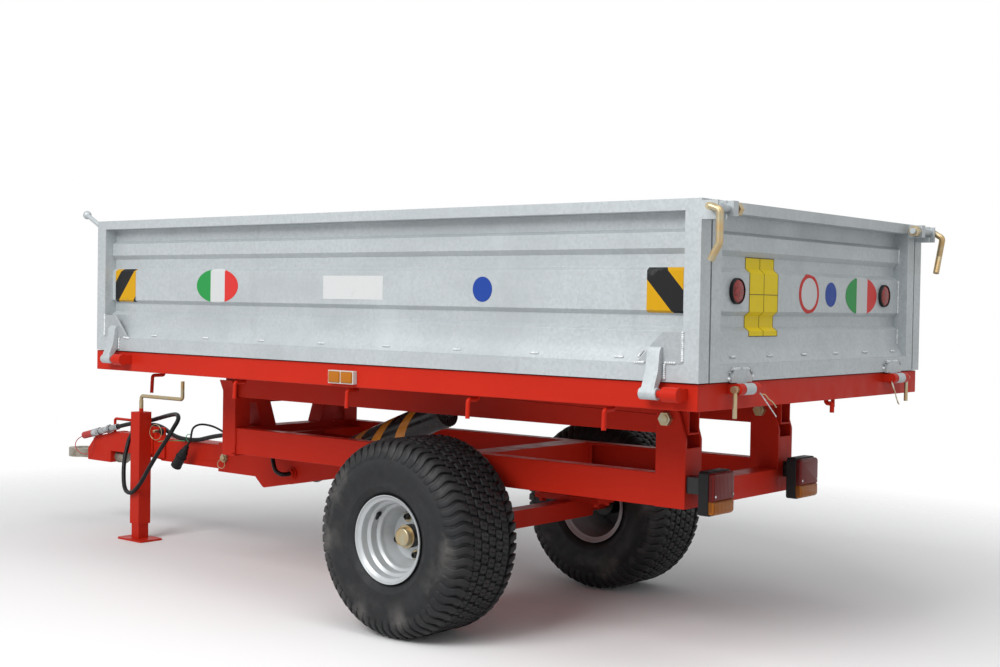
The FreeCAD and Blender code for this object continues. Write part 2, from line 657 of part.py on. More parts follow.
# Two plates under the front of the chassis hold the foot of the ram and the sleeve of the drawbar.
def cradle():
    rear = bed + d.cradle_rear
    front = bed + d.cradle_front
    low = d.ram_base_height - d.cradle_drop
    sleeve = d.drawbar_bottom
    seat = rail_top - d.cross_depth
    step = bed + d.front_upright
    outline = [(rear, d.rail_bottom + 50), (rear, low + 81, 20), (rear + 87, low + 57, 40),
               (front - 101, low, 20), (front - 46, sleeve + 7, 30), (front, sleeve + 59, 10),
               (front, seat), (step, seat), (step, d.rail_bottom + 50)]
    inner = d.cradle_out - d.cradle_plate
    pieces = []
    for word, side in SIDES:
        pieces.append(plate("cradle_plate_" + word, "XZ", outline, mirrored(side, inner, d.cradle_out)))
    front_bar = (bed + d.front_upright - 60, bed + d.front_upright)
    outside = d.drawbar_width / 2 + d.slide_fit + d.sleeve_wall
    for word, side in SIDES:
        pieces.append(box("cradle_pad_" + word, (front - 110, front - 50), mirrored(side, outside, inner),
                          (d.drawbar_bottom + 20, d.drawbar_bottom + d.drawbar_height - 10)))
    pieces.append(box("cradle_bridge", front_bar, (-d.rail_out + d.rail_width, d.rail_out - d.rail_width),
                      (d.rail_bottom + 10, d.rail_bottom + 60)))
    for word, side in SIDES:
        pieces.append(box("cradle_tie_" + word, (rear, rear + 60),
                          mirrored(side, inner, d.rail_out - d.rail_width),
                          (d.rail_bottom + 10, d.rail_bottom + 50)))
    base_x = bed + d.ram_base
    bore = rod("cradle_bore", base_x, (-d.cradle_out - 1, d.cradle_out + 1), d.ram_base_height,
               d.ram_pin_radius)
    node("cylinder_cradle", cut("cylinder_cradle", join("cradle_solid", *pieces), bore))
    pin = rod("ram_foot_pin", base_x, (-d.cradle_out - 14, d.cradle_out + 14), d.ram_base_height,
              d.ram_pin_radius)
    cap = rod("ram_foot_cap", base_x, (d.cradle_out, d.cradle_out + 6), d.ram_base_height,
              d.ram_pin_radius + 5)
    low_cap = rod("ram_foot_collar", base_x, (-d.cradle_out - 6, -d.cradle_out), d.ram_base_height,
                  d.ram_pin_radius + 5)
    node("cylinder_base_pin", join("cylinder_base_pin", pin, cap, low_cap))


# The single ram that tips the body, built along its own axis with the lower pivot at the origin.
def ram():
    base_x = bed + d.ram_base
    length = Size("sqrt(pow(%s; 2) + pow(%s; 2))" % (text(d.ram_base - d.ram_head),
                                                     text(ram_head_height - d.ram_base_height)),
                  math.hypot(number(d.ram_base - d.ram_head),
                             number(ram_head_height - d.ram_base_height)))
    slope = Size("atan(%s / %s)" % (text(ram_head_height - d.ram_base_height),
                                    text(d.ram_base - d.ram_head)),
                 math.degrees(math.atan2(number(ram_head_height - d.ram_base_height),
                                         number(d.ram_base - d.ram_head))))
    bore = d.ram_pin_radius + d.hinge_gap
    half = d.ram_eye_width / 2
    eye = rod("barrel_eye", 0, (-half, half), 0, d.ram_eye_radius)
    neck = rod("barrel_neck", (-38, 0), 0, 0, d.ram_eye_radius - 6)
    shell = turned("barrel_shell", "XZ", [(-34, 0), (-34, d.ram_radius, 4), (-d.ram_barrel, d.ram_radius, 4),
                                         (-d.ram_barrel, d.ram_rod_radius + 0.3),
                                         (-70, d.ram_rod_radius + 0.3), (-70, 0)], 0, 0, 0)
    band = rod("barrel_gland", (-d.ram_barrel, -d.ram_barrel + 30), 0, 0, d.ram_radius + 3)
    gland_hole = rod("barrel_gland_hole", (-d.ram_barrel - 1, -d.ram_barrel + 31), 0, 0,
                     d.ram_rod_radius + 0.3)
    hole = rod("barrel_bore", 0, (-half - 1, half + 1), 0, bore)
    barrel = cut("cylinder_barrel", join("barrel_solid", eye, neck, shell, band), hole, gland_hole)
    node("cylinder_barrel", place(barrel, base_x, 0, d.ram_base_height, (0, 1, 0), slope))
    far = -length
    head_eye = rod("rod_eye", far, (-half, half), 0, d.ram_eye_radius)
    head_neck = rod("rod_neck", (far, far + 60), 0, 0, d.ram_eye_radius - 4)
    bar = rod("rod_bar", (far, -90), 0, 0, d.ram_rod_radius)
    stem = rod("rod_stem", (-d.ram_barrel + 60, -90), 0, 0, d.ram_rod_radius)
    arm = join("cylinder_rod", head_eye, head_neck, bar, stem)
    node("cylinder_rod", place(arm, base_x, 0, d.ram_base_height, (0, 1, 0), slope))


# The drawbar slides in its sleeve and is held by a pin; its head carries the towing eye's bush.
def drawbar():
    half = d.drawbar_width / 2
    bottom = d.drawbar_bottom
    top = bottom + d.drawbar_height
    clear = d.slide_fit + d.sleeve_wall
    rear = bed + d.ram_base + 120
    pin_x = bed + d.sleeve_pin
    pin_z = bottom + d.drawbar_height / 2
    sleeve = tube("sleeve_tube", (rear, bed + d.sleeve_front), (-half - clear, half + clear),
                  (bottom - clear, top + clear), d.sleeve_wall, "x")
    sleeve_hole = rod("sleeve_hole", pin_x, (-half - clear - 1, half + clear + 1), pin_z, 10)
    node("drawbar_sleeve", cut("drawbar_sleeve", sleeve, sleeve_hole))
    beam = tube("drawbar_tube", (rear + 10, bed + d.drawbar_front), (-half, half), (bottom, top),
                d.drawbar_wall, "x")
    beam_hole = rod("drawbar_hole", pin_x, (-half - 1, half + 1), pin_z, 10)
    node("drawbar", cut("drawbar", beam, beam_hole))
    reach = half + clear
    pin = rod("drawbar_pin_bar", pin_x, (-reach - 12, reach + 14), pin_z, 10)
    collar = rod("drawbar_pin_collar", pin_x, (reach, reach + 8), pin_z, 15)
    node("drawbar_pin", join("drawbar_pin", pin, collar))


# Two side plates run on from the drawbar, with a block below their nose that the towing eye turns in.
def head():
    half = d.drawbar_width / 2
    rear = bed + d.drawbar_front
    front = bed + d.head_front
    bush = bed + d.bush_rear
    top = d.drawbar_bottom + d.drawbar_height
    outline = [(rear, d.drawbar_bottom + 4), (rear + 150, d.bush_top), (front, d.bush_top),
               (front - 46, d.head_top - 24, 20), (front - 180, d.head_top, 60), (front - 255, d.head_top),
               (rear, top)]
    pieces = []
    for word, side in SIDES:
        pieces.append(plate("head_plate_" + word, "XZ", outline, mirrored(side, half - d.head_plate, half)))
    width = (-half + d.head_plate, half - d.head_plate)
    shelf = box("head_shelf", (rear, front - 60), width, (d.bush_top + 3, d.bush_top + 3 + d.head_plate))
    cover = box("head_cover", (rear, front - 180), width, (top - d.head_plate, top))
    block = box("head_bush", (bush, front), (-half, half), (d.bush_bottom, d.bush_top))
    cheek = box("head_web", (bush + 40, front - 40), width, (d.bush_top, d.bush_top + 4))
    bore = rod("head_bore", (bush - 1, front + 1), 0, d.eye_height, d.shank_radius + d.hinge_gap)
    legs = (bed + d.hanger_front, bed + d.hanger_rear)
    y = half - d.head_plate - 2 * d.hanger_radius
    loop = bent_rod("hose_hanger", [(legs[0], y, top - 2), (legs[0], y, d.hanger_top),
                                    (legs[1], y, d.hanger_top), (legs[1], y, top - 2)], d.hanger_radius, 9)
    foot = box("hanger_foot", (legs[0] - 12, legs[0] + 12), width, (top - d.head_plate, top))
    node("drawbar_head", cut("drawbar_head", join("head_solid", shelf, cover, block, cheek, loop, foot, *pieces),
                             bore))


# A forged eye on a shank that turns in the bush, held by a washer and a nut behind it.
def towing_eye():
    z = (d.eye_height - d.eye_thickness / 2, d.eye_height + d.eye_thickness / 2)
    x = bed + d.front_reach - d.eye_radius
    front = bed + d.head_front
    bush = bed + d.bush_rear
    ring = rod("eye_ring", x, 0, z, d.eye_radius)
    neck = plate("eye_neck", "XY", [(front + 0.5, 18), (x - 20, 34), (x - 20, -34), (front + 0.5, -18)], z)
    collar = rod("eye_collar", (front + 0.5, front + 10), 0, d.eye_height, 20)
    shank = rod("eye_shank", (bush - 56, front + 8), 0, d.eye_height, d.shank_radius)
    washer = rod("eye_washer", (bush - 8.5, bush - 0.5), 0, d.eye_height, 22)
    lock = nut("eye_nut", (bush - 46, bush - 8.5), 0, d.eye_height, 38)
    hole = rod("eye_hole_cut", x, 0, (z[0] - 1, z[1] + 1), d.eye_hole)
    node("towing_eye", cut("towing_eye", join("eye_solid", ring, neck, collar, shank, washer, lock), hole))


# The wind-up jack stands beside the drawbar on a welded bracket; its leg slides in the outer tube.
def jack():
    x = bed + d.jack_set
    y = d.jack_out
    half = d.jack_tube / 2
    top = d.jack_top
    pieces = [tube("jack_outer", (x - half, x + half), (y - half, y + half), (d.jack_bottom, top - 6),
                   d.jack_wall, "z"),
              box("jack_lid", (x - half, x + half), (y - half, y + half), (top - 6, top)),
              rod("jack_stub", x, y, (top, top + 12), d.crank_radius + 1)]
    node("jack_tube", join("jack_tube", *pieces))
    side = d.drawbar_width / 2
    low = d.drawbar_bottom + 10
    pieces = [box("jack_pad", (x - half - 50, x + half + 12), (side, y - half), (low, top - 50)),
              box("jack_lug", (x - half - 40, x - half), (y - half, y + 10), (low + 10, top - 55)),
              rod("jack_lug_pin", x - half - 28, (y + 10, y + 22), top - 67, 6)]
    node("jack_bracket", join("jack_bracket", *pieces))
    leg = d.leg_tube / 2
    long = d.foot_length / 2
    wide = d.foot_width / 2
    leg_pieces = [tube("leg_bar", (x - leg, x + leg), (y - leg, y + leg), (d.foot_thickness, top - 130), 4,
                       "z"),
                  plate("leg_foot", "XY", [(x - long, y - wide, 10), (x + long, y - wide, 10),
                                           (x + long, y + wide, 10), (x - long, y + wide, 10)],
                        (0, d.foot_thickness))]
    node("jack_leg", join("jack_leg", *leg_pieces))
    z = d.crank_height
    grip = x - d.crank_length
    crank_points = [(x, y, top + 12), (x, y, z), (grip, y, z), (grip, y, z + d.crank_grip)]
    hub = rod("crank_hub", x, y, (top + 12, top + 40), d.crank_radius + 1)
    node("jack_crank", join("jack_crank", hub, bent_rod("crank_rod", crank_points, d.crank_radius, 10)))


# Rear lamps on black brackets at the ends of two stubs from the uprights.
def rear_lamp(word, side):
    rear = bed + d.lamp_rear
    y = mirrored(side, d.lamp_out - d.lamp_width / 2, d.lamp_out + d.lamp_width / 2)
    z = (d.lamp_middle - d.lamp_height / 2, d.lamp_middle + d.lamp_height / 2)
    back = rear + d.lamp_depth
    upright = bed + d.chassis_rear
    stub_y = mirrored(side, d.lamp_out + 2, d.upright_out - 6)
    stub = box("lamp_stub_" + word, (back + 5, upright), stub_y, (d.lamp_middle - 4, d.lamp_middle + 36))
    seat = box("lamp_seat_" + word, (back, back + 5), (y[0] + 10, y[1] - 10), (z[0] + 12, z[1] - 12))
    split = d.lamp_middle - d.lamp_height / 6
    face = (y[0] + 3, y[1] - 3)
    return (join("lamp_bracket_" + word, stub, seat),
            box("lamp_housing_" + word, (rear + d.lens, back), y, z),
            box("lens_red_" + word, (rear, rear + d.lens), face, (split, z[1] - 3)),
            box("lens_amber_" + word, (rear, rear + d.lens), face, (z[0] + 3, split)))


def rear_lamps():
    pairs = [rear_lamp(word, side) for word, side in SIDES]
    for index, name in enumerate(("lamp_brackets", "lamp_housings", "red_lenses", "amber_lenses")):
        node(name, join(name, *[pair[index] for pair in pairs]))


# Bearers under the floor frame, with the bushes that the tipping bolts pass through.
def bearer(word, side):
    name = "bed_bearer_" + word
    y = mirrored(side, d.bearer_out - d.bearer_width, d.bearer_out)
    bar = tube(name + "_tube", (bed + d.chassis_rear, bed + d.bearer_front), y,
               (bearer_bottom, d.frame_bottom), d.bearer_wall, "x")
    bush = rod(name + "_bush", tip_x, y, tip_height, d.tip_bush_radius)
    bore = rod(name + "_bore", tip_x, (y[0] - 1, y[1] + 1), tip_height, d.tip_bolt_radius + d.hinge_gap)
    node(name, cut(name, join(name + "_solid", bar, bush), bore))


# The red floor frame: channels that open inwards, and five cross members that open downwards.
def floor():
    half = frame_half
    z = (d.frame_bottom, frame_top)
    start = bed + 5
    end = bed + d.bed_length + d.frame_overhang
    wide = d.frame_member
    wall = d.frame_wall
    inside = (d.frame_bottom + wall, frame_top - wall)
    rails = [box("frame_side_left", (start, end), (half - wide, half), z),
             box("frame_side_right", (start, end), (-half, -half + wide), z),
             box("frame_rear", (start, start + wide), (-half + wide, half - wide), z),
             box("frame_front", (end - wide, end), (-half + wide, half - wide), z)]
    hollows = [box("frame_hollow_left", (start + wall, end - wall), (half - wide - 1, half - wall), inside),
               box("frame_hollow_right", (start + wall, end - wall), (-half + wall, -half + wide + 1), inside),
               box("frame_hollow_rear", (start + wall, start + wide + 1), (-half + wall, half - wall), inside),
               box("frame_hollow_front", (end - wide - 1, end - wall), (-half + wall, half - wall), inside)]
    pieces = [cut("frame_channels", join("frame_rails", *rails), *hollows)]
    count = 5
    for index in range(count):
        x = start + (end - start) * ((index + 1) / (count + 1))
        member = box("frame_cross%d" % index, (x - 20, x + 20), (-half + wall, half - wall), z)
        below = box("frame_cross_hollow%d" % index, (x - 20 + wall, x + 20 - wall),
                    (-half + wide, half - wide), (d.frame_bottom - 1, frame_top - wall))
        pieces.append(cut("frame_member%d" % index, member, below))
    node("bed_frame", join("bed_frame", *pieces))
    inner = gate_face - d.post - d.gate_gap
    node("floor_sheet", box("floor_sheet", (bed + d.post + d.gate_gap,
                                            bed + d.bed_length - d.post - d.gate_gap),
                            (-inner, inner), (frame_top, frame_top + d.floor_thickness)))
    base_x = bed + d.ram_head
    lug = d.ram_eye_radius + 12
    gap = d.ram_eye_width / 2 + 3
    lugs = []
    for word, side in SIDES:
        outline = [(base_x - lug - 20, d.frame_bottom), (base_x - lug, ram_head_height - lug, 30),
                   (base_x + lug, ram_head_height - lug, 30), (base_x + lug + 20, d.frame_bottom)]
        lugs.append(plate("ram_lug_" + word, "XZ", outline, mirrored(side, gap, gap + 10)))
        lugs.append(box("ram_bearer_" + word, (base_x - 190, base_x + 190), mirrored(side, gap, gap + 40),
                        (d.frame_bottom - 6, d.frame_bottom)))
        lugs.append(rod("ram_pin_end_" + word, base_x, mirrored(side, gap + 0.5, gap + 22),
                        ram_head_height, d.ram_pin_radius))
        lugs.append(rod("ram_pin_cap_" + word, base_x, mirrored(side, gap + 10, gap + 16),
                        ram_head_height, d.ram_pin_radius + 6))
    node("cylinder_bracket", join("cylinder_bracket", *lugs))


def gate_pins(word, side):
    pieces = []
    y = side * (gate_face + d.side_axis_out)
    for index, start in enumerate((bed + d.side_barrel_rear, bed + d.bed_length - d.side_barrel_front)):
        name = "gate_pin_%s%d" % (word, index)
        boss = (start - 14 - d.boss, start - 14)
        pieces.append(rod(name + "_boss", boss, y, side_axis_height, d.barrel_radius + 3))
        pieces.append(box(name + "_foot", boss, mirrored(side, frame_half, gate_face + d.side_axis_out),
                          (side_axis_height - 13, side_axis_height + 13)))
        pieces.append(rod(name + "_bar", (start - 14, start + d.side_barrel + 8), y, side_axis_height,
                          d.pin_radius))
    node("gate_pins_" + word, join("gate_pins_" + word, *pieces))


# Sheet section from the bottom rail up: each pair is a height over the rail and a depth behind the face.
def sheet_section(bottom, top, low, high):
    return [(bottom, 6), (bottom + 34, high), (bottom + 70, high), (bottom + 79, low), (bottom + 104, low),
            (bottom + 114, high), (bottom + 200, high), (bottom + 210, low), (bottom + 236, low),
            (bottom + 248, high), (bottom + 282, high), (bottom + 290, low), (top, low)]


def corrugated(name, plane, side, face, span):
    """A pressed sheet between two rails; face is its outer face and side the way it looks."""
    outer = []
    inner = []
    for height, depth in sheet_section(gate_bottom + d.gate_bottom_rail, bed_top - d.gate_top_rail,
                                       d.sheet_low, d.sheet_high):
        outer.append((face - side * depth, height))
        inner.append((face - side * (depth + d.sheet_wall), height))
    return plate(name, plane, outer + inner[::-1], span)


def wall_frame(name, x, y, along):
    """Posts with top and bottom rail of one wall, and the hollows inside them, as two lists."""
    first, last = (x, y) if along == "x" else (y, x)
    wall = d.post_wall
    low = (gate_bottom, gate_bottom + d.gate_bottom_rail)
    high = (bed_top - d.gate_top_rail, bed_top)
    start = (first[0], first[0] + d.post)
    end = (first[1] - d.post, first[1])
    middle = (first[0] + d.post, first[1] - d.post)
    core = (last[0] + wall, last[1] - wall)
    deep = (frame_top - 1, bed_top - wall)
    reach = (middle[0] - wall - 1, middle[1] + wall + 1)
    spans = [(start, last, (gate_bottom, bed_top)), (end, last, (gate_bottom, bed_top)), (middle, last, low),
             (middle, last, high), ((start[0] + wall, start[1] - wall), core, deep),
             ((end[0] + wall, end[1] - wall), core, deep), (reach, core, (low[0] + wall, low[1] - wall)),
             (reach, core, (high[0] + wall, high[1] - wall))]
    pieces = []
    for index, (long, thick, tall) in enumerate(spans):
        label = "%s_member%d" % (name, index)
        pieces.append(box(label, long, thick, tall) if along == "x" else box(label, thick, long, tall))
    return pieces[:4], pieces[4:]


# A drop side: frame, pressed sheet, hinge barrels on straps and the latch bracket at its rear post.
def side_gate(word, side):
    name = "side_gate_frame_" + word
    y = mirrored(side, gate_face - d.post, gate_face)
    x = (bed, bed + d.bed_length)
    pieces, hollows = wall_frame(name, x, y, "x")
    corner = gate_bottom + d.gate_bottom_rail
    for label, edge, way in (("rear", bed + d.post, 1), ("front", bed + d.bed_length - d.post, -1)):
        outline = [(edge, corner), (edge + way * d.gusset_base, corner),
                   (edge + way * d.gusset_head, corner + d.gusset_height), (edge, corner + d.gusset_height)]
        pieces.append(plate(name + "_gusset_" + label, "XZ", outline,
                            mirrored(side, gate_face - 4, gate_face)))
    axis_y = side * (gate_face + d.side_axis_out)
    for index, start in enumerate((bed + d.side_barrel_rear, bed + d.bed_length - d.side_barrel_front)):
        ends = (start, start + d.side_barrel)
        pieces.append(rod(name + "_barrel%d" % index, ends, axis_y, side_axis_height, d.barrel_radius))
        strap = [(side * (gate_face + out), side_axis_height + up) for out, up in (
            (0, 100), (7, 99), (13, 90), (18, 50), (d.side_axis_out + 10, 8), (d.side_axis_out, 0), (8, 26),
            (0, 34))]
        pieces.append(plate(name + "_strap%d" % index, "YZ", strap, (start + 5, start + 5 + d.side_barrel * 0.75)))
    bores = [rod(name + "_bore%d" % index, (start - 1, start + d.side_barrel + 1), axis_y,
                 side_axis_height, d.pin_radius + d.hinge_gap)
             for index, start in enumerate((bed + d.side_barrel_rear, bed + d.bed_length - d.side_barrel_front))]
    node(name, cut(name, join(name + "_solid", *pieces), *bores, *hollows))
    sheet_name = "side_gate_sheet_" + word
    node(sheet_name, corrugated(sheet_name, "YZ", side, side * gate_face,
                                (bed + d.post, bed + d.bed_length - d.post)))


# The fork that takes the tailgate's bolt, with its bent lever, and the ball lever at the front corner.
def latch(word, side):
    name = "side_gate_latch_" + word
    x = (bed - d.latch_reach, bed)
    inner_y = mirrored(side, gate_face - d.post, gate_face - d.post + d.latch_plate)
    outer_y = mirrored(side, gate_face - d.latch_plate, gate_face)
    z = (latch_height - 26, latch_height + 14)
    cheek = box(name + "_inner", x, inner_y, z)
    slot = box(name + "_slot", (x[0] - 1, bed - 14), (inner_y[0] - 1, inner_y[1] + 1),
               (latch_height - d.latch_bolt_radius - 7, latch_height + d.latch_bolt_radius + 1))
    stud_x = bed - 28
    grip = gate_face + 14
    stud = rod(name + "_stud", stud_x, mirrored(side, gate_face - d.latch_plate, grip + 6), latch_height, 8)
    reach = bed - d.rear_reach + d.handle_radius
    turns = {"left": [(stud_x, grip, latch_height), (reach, grip, latch_height - 8),
                      (reach, grip, latch_height - 77), (reach + 20, grip, latch_height - 112)],
             "right": [(stud_x, -grip, latch_height), (reach, -grip - 3, latch_height - 14),
                       (reach + 14, -grip - 17, latch_height - 62), (reach + 14, -grip + 2, latch_height - 108)]}
    lever = bent_rod(name + "_lever", turns[word], d.handle_radius, 10)
    front = bed + d.bed_length
    pull = side * (gate_face - d.post / 2)
    ball_lever = bent_rod(name + "_pull", [(front, pull, latch_height + 8), (front + 20, pull, latch_height + 8),
                                           (front + 86, pull, latch_height + 42)], 7, 20)
    knob = ball(name + "_knob", front + 86, pull, latch_height + 42, 13)
    node(name, join(name, cut(name + "_fork", cheek, slot), box(name + "_outer", x, outer_y, z), stud, lever,
                    ball_lever, knob))


# The front wall stays fixed between the side gates.
def front_wall():
    half = gate_face - d.post - 3 * d.gate_gap
    x = (bed + d.bed_length - d.post, bed + d.bed_length)
    pieces, hollows = wall_frame("front_wall_frame", x, (-half, half), "y")
    for word, side in SIDES:
        pieces.append(box("front_wall_foot_" + word, x, mirrored(side, half - d.post, half),
                          (frame_top, gate_bottom)))
    node("front_wall_frame", cut("front_wall_frame", join("front_wall_solid", *pieces), *hollows))
    node("front_wall_sheet", cross_sheet("front_wall_sheet", 1, bed + d.bed_length, half))


def cross_sheet(name, side, face, half):
    return corrugated(name, "XZ", side, face, (-half + d.post, half - d.post))


# The tailgate drops about its two bottom hinges and is held by a bolt on either side at the top.
def tailgate():
    half = gate_face - d.post - 3 * d.gate_gap
    x = (bed, bed + d.post)
    pieces, hollows = wall_frame("tailgate_frame", x, (-half, half), "y")
    axis_x = bed - d.tail_axis_back
    z = tail_axis_height
    bores = []
    bolts = []
    lugs = []
    for word, side in SIDES:
        middle = side * d.tail_hinge_out
        neck = d.tail_barrel / 2
        span = (middle - neck, middle + neck)
        pieces.append(rod("tail_barrel_" + word, axis_x, span, z, d.barrel_radius))
        wide = neck + d.tail_lug
        foot = gate_bottom - 2
        head = gate_bottom + 26
        tab = [(middle - neck, z), (middle + neck, z), (middle + neck, foot), (middle + wide, foot),
               (middle + wide, head - 14, 6), (middle + wide - 16, head, 10), (middle - wide + 16, head, 10),
               (middle - wide, head - 14, 6), (middle - wide, foot), (middle - neck, foot)]
        pieces.append(plate("tail_tab_" + word, "YZ", tab, (bed - d.strap, bed)))
        bores.append(rod("tail_bore_" + word, axis_x, (span[0] - 1, span[1] + 1), z,
                         d.pin_radius + d.hinge_gap))
        bolt_x = bed - 24
        bolt = rod("tail_bolt_" + word, bolt_x, mirrored(side, gate_face - 116, gate_face - d.latch_plate - 2),
                   latch_height, d.latch_bolt_radius)
        eye = box("tail_eye_" + word, (bolt_x - 14, bed), mirrored(side, half - 40, half - 20),
                  (latch_height - 16, latch_height + 16))
        lock = nut("tail_nut_" + word, bolt_x, mirrored(side, gate_face - 110, gate_face - 94), latch_height, 26)
        bolts.append(join("tail_bolt_set_" + word, bolt, eye, lock))
        for end in (-1, 1):
            near = middle + end * (neck + 1)
            knuckle = (near, near + d.tail_lug) if end > 0 else (near - d.tail_lug, near)
            lugs.append(rod("tail_knuckle_%s%d" % (word, end + 1), axis_x, knuckle, z, d.barrel_radius))
            lugs.append(box("tail_foot_%s%d" % (word, end + 1), (axis_x, bed + 5), knuckle,
                            (z - d.barrel_radius + 2, z + d.barrel_radius - 2)))
        reach = neck + d.tail_lug + 1
        ends = (middle - reach - 6, middle + reach + 14)
        if side < 0:
            ends = (middle - reach - 14, middle + reach + 6)
        leg = middle + side * (reach + 7)
        lugs.append(rod("tail_pin_" + word, axis_x, ends, z, d.pin_radius))
        lugs.append(rod("tail_pin_leg_" + word, axis_x, leg, (z - 62, z), 5))
    node("tailgate_frame", cut("tailgate_frame", join("tailgate_solid", *pieces), *bores, *hollows))
    node("tailgate_bolts", join("tailgate_bolts", *bolts))
    node("tailgate_sheet", cross_sheet("tailgate_sheet", -1, bed, half))
    node("tailgate_lugs", join("tailgate_lugs", *lugs))


# Bent-rod hooks for a net or a rope, welded under the frame's rails.
def rope_hooks():
    hooks = []
    out = frame_half
    low = d.frame_bottom
    for word, side in SIDES:
        for index, x in enumerate((245, 642, 1052, 1494)):
            hooks.append(bent_rod("hook_%s%d" % (word, index),
                                  [(bed + x, side * (out - 40), low), (bed + x, side * (out - 40), low - 10),
                                   (bed + x, side * (out - 4), low - 10), (bed + x, side * (out - 2), low - 55)],
                                  d.hook_radius, 7))
        near = side * 322
        turn = side * 366
        front = bed + d.bed_length - 10
        hooks.append(bent_rod("hook_front_" + word, [(front, near, low), (front, near, low - 25),
                                                     (front, turn, low - 25), (front, turn + side * 3, low - 80)],
                              d.hook_radius, 7))
    rear = bed + 24
    hooks.append(bent_rod("hook_rear", [(rear, -70, low), (rear, -70, low - 10), (rear - 16, -70, low - 10),
                                        (rear - 16, -70, low - 32)], d.hook_radius, 6))
    node("rope_hooks", join("rope_hooks", *hooks))
    lamps = [box("marker_lamp_" + word, (bed + 1014, bed + 1106), mirrored(side, out, out + 14),
                 (d.frame_bottom + 8, d.frame_bottom + 42)) for word, side in SIDES]
    node("marker_lamps", join("marker_lamps", *lamps))


# The hose with its coupler, the cable with its plug, and the short hose of the ram.
def services():
    coupler = [rod("coupler_ferrule", (0, 46), 0, 0, 11),
               nut("coupler_nut", (46, 66), 0, 0, 27),
               rod("coupler_body", (66, 110), 0, 0, 12),
               rod("coupler_sleeve", (110, 152), 0, 0, 14.5),
               rod("coupler_cap", (152, 212), 0, 0, 13)]
    node("hose_coupler", place(join("hose_coupler", *coupler), bed + 2742, 50, 384, (0, 1, 0), 12.5))
    route = [(2741.6, 50, 384.1), (2714.7, 50, 390.1), (2679, 45, 398), (2628, 40, 408), (2565, 40, 417),
             (2502, 48, 431), (2426, 62, 447), (2367, 76, 455), (2334, 96, 440), (2344, 110, 411),
             (2367, 116, 375), (2414, 118, 324), (2470, 118, 260), (2515, 118, 204), (2554, 118, 172),
             (2583, 116, 165), (2614, 110, 173), (2637, 100, 203), (2656, 86, 261), (2663, 72, 301),
             (2668, 56, 348), (2652, 37, 388), (2606, 17, 399), (2560, 14, 400), (2508, 20, 391),
             (2461, 34, 378), (2384, 46, 366), (2290, 50, 368), (2221, 56, 384), (2154, 62, 396),
             (2070, 74, 406), (2000, 78, 412), (1940, 80, 414), (1901, 80, 414)]
    node("hydraulic_hose", bent_rod("hydraulic_hose", [(bed + a, b, c) for a, b, c in route],
                                    d.hose_radius, None))
    cable = [(1901.3, 60, 430), (1925, 60, 430), (1960, 57, 430), (2010, 50, 424), (2090, 42, 404), (2162, 40, 402),
             (2183, 42, 412), (2223, 46, 423), (2273, 54, 426), (2298, 64, 413), (2296, 72, 394),
             (2289, 80, 376), (2295, 82, 363.2), (2304, 82, 352)]
    node("lamp_cable", bent_rod("lamp_cable", [(bed + a, b, c) for a, b, c in cable],
                                d.cable_radius, None))
    plug = [rod("plug_boot", (0, 26), 0, 0, 11), rod("plug_body", (26, d.plug_length), 0, 0, d.plug_radius)]
    node("lamp_plug", place(join("lamp_plug", *plug), bed + 2304, 82, 352, (0, 1, 0), 51.2))
    foot = [(1871, 84, 394), (1871, 84, 364), (1858, 92, 332), (1830, 106, 308), (1802, 106, 300),
            (1800, 90, 300), (1800, 74, 300)]
    node("cylinder_hose", bent_rod("cylinder_hose", [(bed + a, b, c) for a, b, c in foot], 7, None))


for word, side in SIDES:
    chassis_rail("chassis_rail_" + word, side)
    rear_upright("rear_upright_" + word, side)
    wheel(word, side)
    bearer(word, side)
    gate_pins(word, side)
    side_gate(word, side)
    latch(word, side)
node("tip_bolts", join("tip_bolts", *[tip_bolt(side, word) for word, side in SIDES]))
cross_members()
front_support()
axle()
cradle()
ram()
drawbar()
head()
towing_eye()
jack()
rear_lamps()
floor()
front_wall()
tailgate()
rope_hooks()
services()
doc.recompute()

faults = []
for piece in doc.Objects:
    if "Invalid" in piece.State or "Error" in piece.State:
        faults.append(piece.Name + " did not build")
for piece in NODES:
    shape = piece.Shape
    if shape.isNull() or not shape.isValid() or shape.Volume <= 0:
        faults.append(piece.Label + " has no valid solid")
if faults:
    raise SystemExit("\n".join(faults))

os.makedirs("parts", exist_ok=True)
for piece in NODES:
    piece.Shape.exportStep(os.path.join("parts", piece.Label + ".step"))
    bound = piece.Shape.BoundBox
    print("%-22s %2d solids  x %8.1f %8.1f  y %7.1f %7.1f  z %6.1f %6.1f" % (
        piece.Label, len(piece.Shape.Solids), bound.XMin, bound.XMax, bound.YMin, bound.YMax,
        bound.ZMin, bound.ZMax))
print(len(NODES), "nodes")
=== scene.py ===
import math

import bmesh
import bpy
from mathutils import Matrix, Vector

